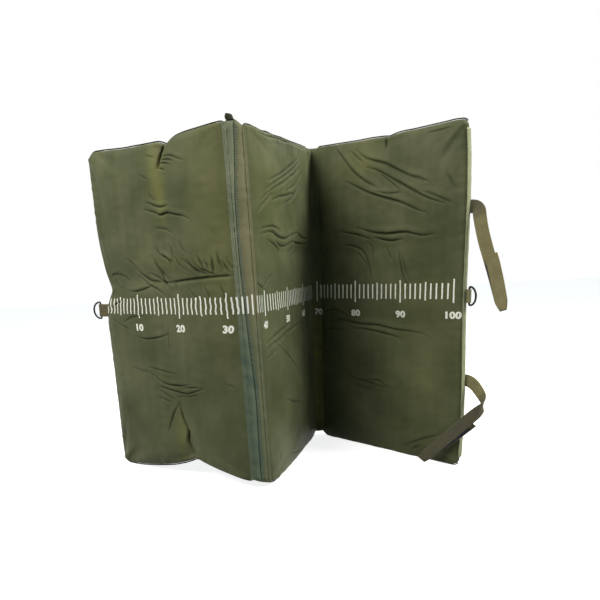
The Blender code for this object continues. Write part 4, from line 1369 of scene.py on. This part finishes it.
def make_ring(side, place):
    """A wire D: a straight bar, two small corners and an elliptic bow."""
    half = RING_TALL / 2
    corner = np.linspace(0, pi / 2, 9)
    bow = np.linspace(-pi / 2, pi / 2, 50)[1:-1]
    low = [(RING_CORNER * (1 + cos(pi + t)), -half + RING_CORNER * (1 + sin(pi + t))) for t in corner]
    round_bow = [(RING_CORNER + (RING_DEEP - RING_CORNER) * cos(t), half * sin(t)) for t in bow]
    high = [(RING_CORNER * (1 + cos(pi / 2 + t)), half - RING_CORNER * (1 - sin(pi / 2 + t))) for t in corner]
    bar = [(0, z) for z in np.linspace(half - RING_CORNER, -half + RING_CORNER, 10)[1:-1]]
    outline = np.array(low + round_bow + high + bar)
    origin, turn = place
    out, up = outline.T
    route = np.column_stack((origin[0] + out * cos(turn), origin[1] + out * sin(turn), origin[2] + up))
    wire = round_section(RING_WIRE / 2, 14)
    ring = sweep(f"wire_ring_{side}", route, wire, (-sin(turn), cos(turn), 0), closed=True)
    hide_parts(f"d_ring_{side}")
    finish_piece(ring, WIRE, f"{side}_ring")


def make_rings_and_straps():
    left, right = joint_at["ring_swing_left"], joint_at["ring_swing_right"]
    left_turn, right_turn = FRAMES["panel_1"][1] + pi, FRAMES["panel_3"][1]
    make_ring_loop("left", (left, left_turn), 0.0230, LEFT_LOOP_PAINTED_SHADE_WEBBING)
    make_ring_loop("right", (right, right_turn), 0.0056, RIGHT_LOOP_PAINTED_LIGHT_WEBBING)
    make_ring("left", (left, left_turn + radians(2)))
    make_ring("right", (right, right_turn + radians(-31)))
    make_upper_strap()
    make_lower_strap()


# Small repeated things, made with geometry nodes

def new_geometry_tree(name, inputs):
    """An empty tree with a geometry in and out, and its named inputs."""
    tree = bpy.data.node_groups.new(name, "GeometryNodeTree")
    tree.interface.new_socket("Geometry", in_out="INPUT", socket_type="NodeSocketGeometry")
    tree.interface.new_socket("Geometry", in_out="OUTPUT", socket_type="NodeSocketGeometry")
    for label, value in inputs.items():
        kind = "NodeSocketMaterial" if isinstance(value, bpy.types.Material) else "NodeSocketFloat"
        tree.interface.new_socket(label, in_out="INPUT", socket_type=kind)
    return tree, add_node(tree, "NodeGroupInput"), add_node(tree, "NodeGroupOutput")


def run_tree(obj, tree, inputs):
    """Gives the object the tree with these inputs and turns the result into a plain mesh."""
    modifier = obj.modifiers.new(tree.name, "NODES")
    modifier.node_group = tree
    for item in tree.interface.items_tree:
        if item.in_out == "INPUT" and item.name in inputs:
            modifier[item.identifier] = inputs[item.name]
    return settle(obj)


def tick_tree(inputs):
    """A bar at every point, taller where the point's mark is a multiple of five or ten."""
    tree, given, result = new_geometry_tree("ruler_ticks", inputs)
    mark = add_node(tree, "GeometryNodeInputNamedAttribute", {"data_type": "FLOAT"}, {"Name": "mark"})
    heights = given.outputs["Short tick"]
    for step, label in ((5, "Fifth tick"), (10, "Tenth tick")):
        rest = add_node(tree, "ShaderNodeMath", {"operation": "MODULO"}, {1: step}, {0: mark.outputs["Attribute"]})
        less = {"data_type": "FLOAT", "operation": "LESS_THAN"}
        whole = add_node(tree, "FunctionNodeCompare", less, {1: 0.5}, {0: rest.outputs[0]})
        pick = add_node(
            tree,
            "GeometryNodeSwitch",
            {"input_type": "FLOAT"},
            links={"Switch": whole.outputs[0], "False": heights, "True": given.outputs[label]},
        )
        heights = pick.outputs[0]
    bar = add_node(tree, "GeometryNodeMeshGrid", inputs={"Size X": 1, "Size Y": 1, "Vertices X": 3, "Vertices Y": 21})
    squeeze = add_node(tree, "GeometryNodeInputNamedAttribute", {"data_type": "FLOAT"}, {"Name": "squeeze"})
    widths = {0: given.outputs["Tick width"], 1: squeeze.outputs["Attribute"]}
    width = add_node(tree, "ShaderNodeMath", {"operation": "MULTIPLY"}, links=widths)
    size = add_node(tree, "ShaderNodeCombineXYZ", inputs={"Z": 1}, links={"X": width.outputs[0], "Y": heights})
    bars = add_node(
        tree,
        "GeometryNodeInstanceOnPoints",
        links={"Points": given.outputs["Geometry"], "Instance": bar.outputs["Mesh"], "Scale": size.outputs[0]},
    )
    real = add_node(tree, "GeometryNodeRealizeInstances", links={"Geometry": bars.outputs[0]})
    printed = {"Geometry": real.outputs[0], "Material": given.outputs["Print"]}
    add = add_node(tree, "GeometryNodeSetMaterial", links=printed)
    tree.links.new(add.outputs[0], result.inputs[0])
    return tree


def stitch_tree(inputs):
    """A plump stitch at every step of a line, turned a little out of the line's direction."""
    tree, given, result = new_geometry_tree("stitches", inputs)
    line = add_node(tree, "GeometryNodeMeshToCurve", links={"Mesh": given.outputs["Geometry"]})
    steps = add_node(
        tree,
        "GeometryNodeResampleCurve",
        {"mode": "LENGTH"},
        links={"Curve": line.outputs[0], "Length": given.outputs["Pitch"]},
    )
    along = add_node(tree, "GeometryNodeInputTangent")
    outward = add_node(tree, "GeometryNodeInputNamedAttribute", {"data_type": "FLOAT_VECTOR"}, {"Name": "outward"})
    turned = add_node(tree, "FunctionNodeAlignRotationToVector", {"axis": "X"}, links={"Vector": along.outputs[0]})
    facing = add_node(
        tree,
        "FunctionNodeAlignRotationToVector",
        {"axis": "Z", "pivot_axis": "X"},
        links={"Rotation": turned.outputs[0], "Vector": outward.outputs["Attribute"]},
    )
    lean = add_node(tree, "ShaderNodeCombineXYZ", links={"Z": given.outputs["Lean"]})
    leaned = add_node(
        tree,
        "FunctionNodeRotateRotation",
        {"rotation_space": "LOCAL"},
        links={"Rotation": facing.outputs[0], "Rotate By": lean.outputs[0]},
    )
    bead = add_node(tree, "GeometryNodeMeshUVSphere", inputs={"Segments": 6, "Rings": 4, "Radius": 1})
    size = add_node(
        tree,
        "ShaderNodeCombineXYZ",
        links={"X": given.outputs["Half length"], "Y": given.outputs["Thread"], "Z": given.outputs["Thread"]},
    )
    beads = add_node(
        tree,
        "GeometryNodeInstanceOnPoints",
        links={
            "Points": steps.outputs[0],
            "Instance": bead.outputs["Mesh"],
            "Rotation": leaned.outputs[0],
            "Scale": size.outputs[0],
        },
    )
    real = add_node(tree, "GeometryNodeRealizeInstances", links={"Geometry": beads.outputs[0]})
    smooth = add_node(tree, "GeometryNodeSetShadeSmooth", links={"Geometry": real.outputs[0]})
    spun = {"Geometry": smooth.outputs[0], "Material": given.outputs["Yarn"]}
    add = add_node(tree, "GeometryNodeSetMaterial", links=spun)
    tree.links.new(add.outputs[0], result.inputs[0])
    return tree


# The ruler, printed in centimetres from 0 to 100

TICK_SIZES = {"Tick width": 0.0028, "Short tick": 0.028, "Fifth tick": 0.033, "Tenth tick": 0.042, "Print": PRINT}
PRINT_PROUD = 0.0003
DIGIT_HEIGHT = 0.0134
DIGIT_STRETCH = 1.2
NUMBER_DROPS = {1: 0.0385, 2: 0.036, 3: 0.0425}
STRIP_TICKS = (33, 34, 35)
# ticks that the ridge gathers up, each at its place along the middle panel, and how thin they look
GATHERED = {36: -0.1612, 37: -0.1576, 38: -0.154, 39: -0.1507}
GATHERED_WIDTH = 0.34
DIGIT_CUT = 0.0018


def ruler_place(mark):
    """The part that a centimetre mark is printed on, and where along it, in metres."""
    if mark <= 32:
        return 1, min((mark - 31.9) * 0.01, -0.0015)
    if mark < 69:
        return 2, GATHERED.get(mark, -0.1435 + 0.0105 * (mark - 40))
    return 3, -0.001 + 0.0102 * (mark - 70)


def cloth_tree(objects):
    """A search tree over the faces of some pieces of cloth."""
    points, faces = [], []
    for obj in objects:
        start = len(points)
        points += [tuple(point) for point in points_of(obj)]
        faces += [[start + i for i in polygon.vertices] for polygon in obj.data.polygons]
    return BVHTree.FromPolygons(points, faces)


def lay_on_cloth(obj, part, tree, proud=PRINT_PROUD):
    """Lays a flat piece, drawn as x along and y up, on the printed side of a part."""
    flat = points_of(obj)
    if part == "panel_1":
        flat[:, 0] += 0.0009 * ripple(flat[:, 0], flat[:, 1], 8, 0.05, 0.018)
        flat[:, 0] += 0.0022 * np.sin(240 * (flat[:, 1] - 0.306)) * smooth_step((-0.282 - flat[:, 0]) / 0.02)
    turn = FRAMES[part][1]
    inward = Vector((-sin(turn), cos(turn), 0))
    laid = []
    for start in to_world(part, np.column_stack((flat[:, 0], flat[:, 0] * 0 - 0.05, flat[:, 1]))):
        start = Vector(start)
        hit, normal, _, _ = tree.ray_cast(start, inward, 0.075)
        if hit is None:
            hit, normal, _, _ = tree.find_nearest(start + inward * 0.045)
        if normal.dot(inward) > 0:
            normal = -normal
        laid.append(hit + normal * proud)
    set_points(obj, laid)
    return obj


def make_ticks(name, part, places, tree, body):
    """The ticks of one part as one printed piece."""
    points = [(x, RULER_HEIGHT, 0) for _, x in places]
    obj = mesh_object(name, points, [])
    write_attribute(obj, "mark", [mark for mark, _ in places])
    write_attribute(obj, "squeeze", [GATHERED_WIDTH if mark in GATHERED else 1 for mark, _ in places])
    run_tree(obj, tick_tree(TICK_SIZES), TICK_SIZES)
    lay_on_cloth(obj, part, tree)
    return finish_piece(obj, PRINT, body)


def number_mesh(mark, x):
    """A number as a flat mesh, cut fine enough to follow the cloth."""
    curve = bpy.data.curves.new(f"number_{mark}", "FONT")
    curve.body = str(mark)
    curve.align_x = "CENTER"
    curve.offset = 0.05
    curve.space_character = 1.05
    curve.resolution_u = 3
    obj = link_object(curve.name, curve)
    evaluated = obj.evaluated_get(bpy.context.evaluated_depsgraph_get())
    mesh = bpy.data.meshes.new_from_object(evaluated)
    bpy.data.objects.remove(obj)
    cut = bmesh.new()
    cut.from_mesh(mesh)
    bmesh.ops.remove_doubles(cut, verts=cut.verts, dist=1e-4)
    lows = [min(vert.co[i] for vert in cut.verts) for i in (0, 1)]
    highs = [max(vert.co[i] for vert in cut.verts) for i in (0, 1)]
    scale = DIGIT_HEIGHT / (highs[1] - lows[1])
    for vert in cut.verts:
        vert.co.x = x + (vert.co.x - (lows[0] + highs[0]) / 2) * scale * (0.8 if mark == 40 else DIGIT_STRETCH)
        vert.co.y = RULER_HEIGHT - NUMBER_DROPS[ruler_place(mark)[0]] + (vert.co.y - (lows[1] + highs[1]) / 2) * scale
    for axis in (0, 1):
        low = min(vert.co[axis] for vert in cut.verts)
        high = max(vert.co[axis] for vert in cut.verts)
        for at in np.arange(low + DIGIT_CUT, high, DIGIT_CUT):
            point, normal = [0.0, 0.0, 0.0], [0.0, 0.0, 0.0]
            point[axis], normal[axis] = at, 1.0
            bmesh.ops.bisect_plane(cut, geom=[*cut.verts, *cut.edges, *cut.faces], plane_co=point, plane_no=normal)
    cut.to_mesh(mesh)
    cut.free()
    return mesh


def make_numbers(name, part, marks, tree, body):
    """The numbers of one part as one printed piece."""
    points, faces = [], []
    for mark, x in marks:
        mesh = number_mesh(mark, x)
        start = len(points)
        points += [tuple(vertex.co) for vertex in mesh.vertices]
        faces += [[start + i for i in polygon.vertices] for polygon in mesh.polygons]
        bpy.data.meshes.remove(mesh)
    obj = mesh_object(name, points, faces)
    lay_on_cloth(obj, part, tree)
    return finish_piece(obj, PRINT, body)


def make_ruler(pads, strips):
    cloths = {
        1: [pads[1], strips[(1, "front", "a")][0]],
        2: [pads[2], strips[(1, "front", "b")][0], strips[(2, "front", "a")][0]],
        3: [pads[3], strips[(2, "front", "b")][0]],
    }
    panel_marks = [mark for mark in range(101) if mark not in STRIP_TICKS and mark != 69]
    for number in (1, 2, 3):
        tree = cloth_tree(cloths[number])
        part, body = f"panel_{number}", PADS[number]["body"]
        places = [(mark, ruler_place(mark)[1]) for mark in panel_marks if ruler_place(mark)[0] == number]
        make_ticks(f"ruler_ticks_{number}", part, places, tree, body)
        tens = [(mark, x + (0.003 if mark == 70 else 0)) for mark, x in places if mark % 10 == 0 and mark]
        make_numbers(f"ruler_numbers_{number}", part, tens, tree, body)
    ridge = cloth_tree([strips[(1, "front", half)][0] for half in "ab"])
    for half, marks in (("a", STRIP_TICKS[:1]), ("b", STRIP_TICKS[1:])):
        places = [(mark, STRIP_WIDTH * (mark - 32.4) / 3.4) for mark in marks]
        ticks = make_ticks(f"ruler_ticks_ridge_{half}", "strip_1", places, ridge, None)
        strip_blend(ticks, half, False)


# The folded end of the ridge's seam, which stands up over its top

def make_ridge_end():
    """A flat tab of folded cloth, a little crumpled."""
    heights = np.linspace(0.6005, 0.6098, 12)
    route = to_world("strip_1", np.column_stack((0.0075 + 0.0012 * np.sin(heights * 400), heights * 0, heights)))
    turn = FRAMES["strip_1"][1]
    section = round_section(1.0, 20) * np.array((0.0062, 0.0026))
    section = np.repeat(section[None], len(route), 0)
    closing = 1 - 0.3 * smooth_step((heights - 0.605) / 0.0045) ** 2
    section *= (closing * (1 + 0.1 * ripple(heights, 0, 5, 0.006, 1.0)))[:, None, None]
    end = sweep("ridge_seam_end", route, section, (-sin(turn), cos(turn), 0))
    places = points_of(end)
    place_on_cloth(end, places[:, 0], places[:, 2])
    finish_piece(end, DARK_SEAM_AND_PAINTED_EDGE_SHADE, "left_strip")


# Stitches

# the stitches lie this far to the right of the crease
STITCHES_BESIDE = 0.0024
RIDGE_STITCH = {"Pitch": 0.0042, "Half length": 0.0023, "Thread": 0.0008, "Lean": 0.65, "Yarn": THREAD}


def make_stitches(name, route, outward, inputs, body):
    """A row of stitches along a line that lies on the cloth."""
    route = np.asarray(route, float)
    mesh = bpy.data.meshes.new(name)
    mesh.from_pydata([tuple(point) for point in route], [(i, i + 1) for i in range(len(route) - 1)], [])
    obj = link_object(name, mesh)
    ways = mesh.attributes.new("outward", "FLOAT_VECTOR", "POINT")
    ways.data.foreach_set("vector", (np.asarray(outward, float) * np.ones((len(route), 1))).ravel())
    run_tree(obj, stitch_tree(inputs), inputs)
    finish_piece(obj, inputs["Yarn"], body)


def make_ridge_stitches(strips):
    """The seam down the middle of the ridge's front cloth."""
    ridge = cloth_tree([strips[(1, "front", half)][0] for half in "ab"])
    turn = FRAMES["strip_1"][1]
    inward = Vector((-sin(turn), cos(turn), 0))
    heights = np.linspace(STRIP_FOOT + 0.006, STRIP_TOP - 0.004, 240)
    creases = STRIP_WIDTH * smooth_line(CREASE_SHARES, heights)
    route = []
    beside = creases + STITCHES_BESIDE
    for start in to_world("strip_1", np.column_stack((beside, heights * 0 - 0.03, heights))):
        hit = ridge.ray_cast(Vector(start), inward, 0.06)[0]
        route.append((hit or Vector(start) + inward * 0.029) - inward * 0.0003)
    make_stitches("ridge_stitches", route, tuple(-inward), RIDGE_STITCH, "left_strip")


# Camera, lamps and ground

# the camera as fitted to the ruler's ticks and the mat's corners, in pixels of the photograph
SENSOR = 36
PICTURE = 600
FOCAL_LENGTH = 588.9
OPTICAL_CENTRE = (241.4, 394.4)
EYE = (-0.0956, -1.1237, 0.3864)
LOOKS_DOWN = 12.54
ROLL = -3.05


def add_camera():
    data = bpy.data.cameras.new("camera")
    data.sensor_width = SENSOR
    data.lens = SENSOR * FOCAL_LENGTH / PICTURE
    data.shift_x = (PICTURE / 2 - OPTICAL_CENTRE[0]) / PICTURE
    data.shift_y = (OPTICAL_CENTRE[1] - PICTURE / 2) / PICTURE
    camera = link_object("camera", data)
    camera.location = EYE
    camera.rotation_euler = (radians(90 - LOOKS_DOWN), 0, 0)
    camera.rotation_euler.rotate_axis("Z", radians(ROLL))
    bpy.context.scene.camera = camera


def add_lamp(name, place, target, size, watts, colour):
    data = bpy.data.lights.new(name, "AREA")
    data.shape = "DISK"
    data.size = size
    data.energy = watts
    data.color = hex_colour(colour)[:3]
    lamp = link_object(name, data)
    lamp.location = place
    lamp.rotation_euler = (Vector(target) - Vector(place)).to_track_quat("-Z", "Y").to_euler()


def background_seen(tree):
    """1 where a ray comes from the camera, a reflection or clear stuff, and 0 where it carries light."""
    path = add_node(tree, "ShaderNodeLightPath")
    seen = path.outputs["Is Camera Ray"]
    for ray in ("Is Glossy Ray", "Is Transmission Ray"):
        links = {0: seen, 1: path.outputs[ray]}
        seen = add_node(tree, "ShaderNodeMath", {"operation": "MAXIMUM"}, links=links).outputs[0]
    return seen


FLOOR_REACH = 6.0


def add_stage():
    """White paper under and behind the mat, which sends back grey light where it isn't seen itself."""
    material, tree = new_material("matt_white_paper")
    paper = add_node(tree, "ShaderNodeBsdfDiffuse", inputs={"Color": hex_colour("#f4f4f4")})
    glow = add_node(tree, "ShaderNodeEmission", inputs={"Color": (1, 1, 1, 1), "Strength": 0.8})
    lit = add_node(tree, "ShaderNodeAddShader", links={0: paper.outputs[0], 1: glow.outputs[0]})
    grey = add_node(tree, "ShaderNodeBsdfDiffuse", inputs={"Color": hex_colour("#5a5b55")})
    either = {0: background_seen(tree), 1: grey.outputs[0], 2: lit.outputs[0]}
    pick = add_node(tree, "ShaderNodeMixShader", links=either)
    add_node(tree, "ShaderNodeOutputMaterial", links={"Surface": pick.outputs[0]})
    corners = ((-1, -1), (1, -1), (1, 1), (-1, 1))
    floor = mesh_object("paper_floor", [(x * FLOOR_REACH, y * FLOOR_REACH, 0) for x, y in corners], [(0, 1, 2, 3)])
    floor.data.materials.append(material)

    world = bpy.context.scene.world or bpy.data.worlds.new("world")
    bpy.context.scene.world = world
    world.use_nodes = True
    tree = world.node_tree
    tree.nodes.clear()
    light = add_node(tree, "ShaderNodeBackground", inputs={"Color": hex_colour("#c6dbe2"), "Strength": 0.27})
    white = add_node(tree, "ShaderNodeBackground", inputs={"Color": (1, 1, 1, 1), "Strength": 1})
    either = {0: background_seen(tree), 1: light.outputs[0], 2: white.outputs[0]}
    pick = add_node(tree, "ShaderNodeMixShader", links=either)
    add_node(tree, "ShaderNodeOutputWorld", links={"Surface": pick.outputs[0]})
    bpy.context.scene.view_settings.view_transform = "Standard"


add_camera()
add_stage()
add_lamp("right_lamp", (1.4, -0.45, 1.55), (0, 0, 0.4), 0.7, 42, "#f6f6ea")
add_lamp("left_lamp", (-1.1, -0.85, 1.62), (0, 0, 0.4), 1.1, 34, "#fffaee")

pads = {number: make_pad(number) for number in (1, 2, 3)}
for number, pad in pads.items():
    make_seams(number, pad)
make_end_binding(3, pads[3])
strips = make_strips()
make_ruler(pads, strips)
make_ridge_stitches(strips)
make_ridge_end()
make_rings_and_straps()
for (number, layer, half), (obj, valley) in strips.items():
    strip_blend(obj, half, valley)
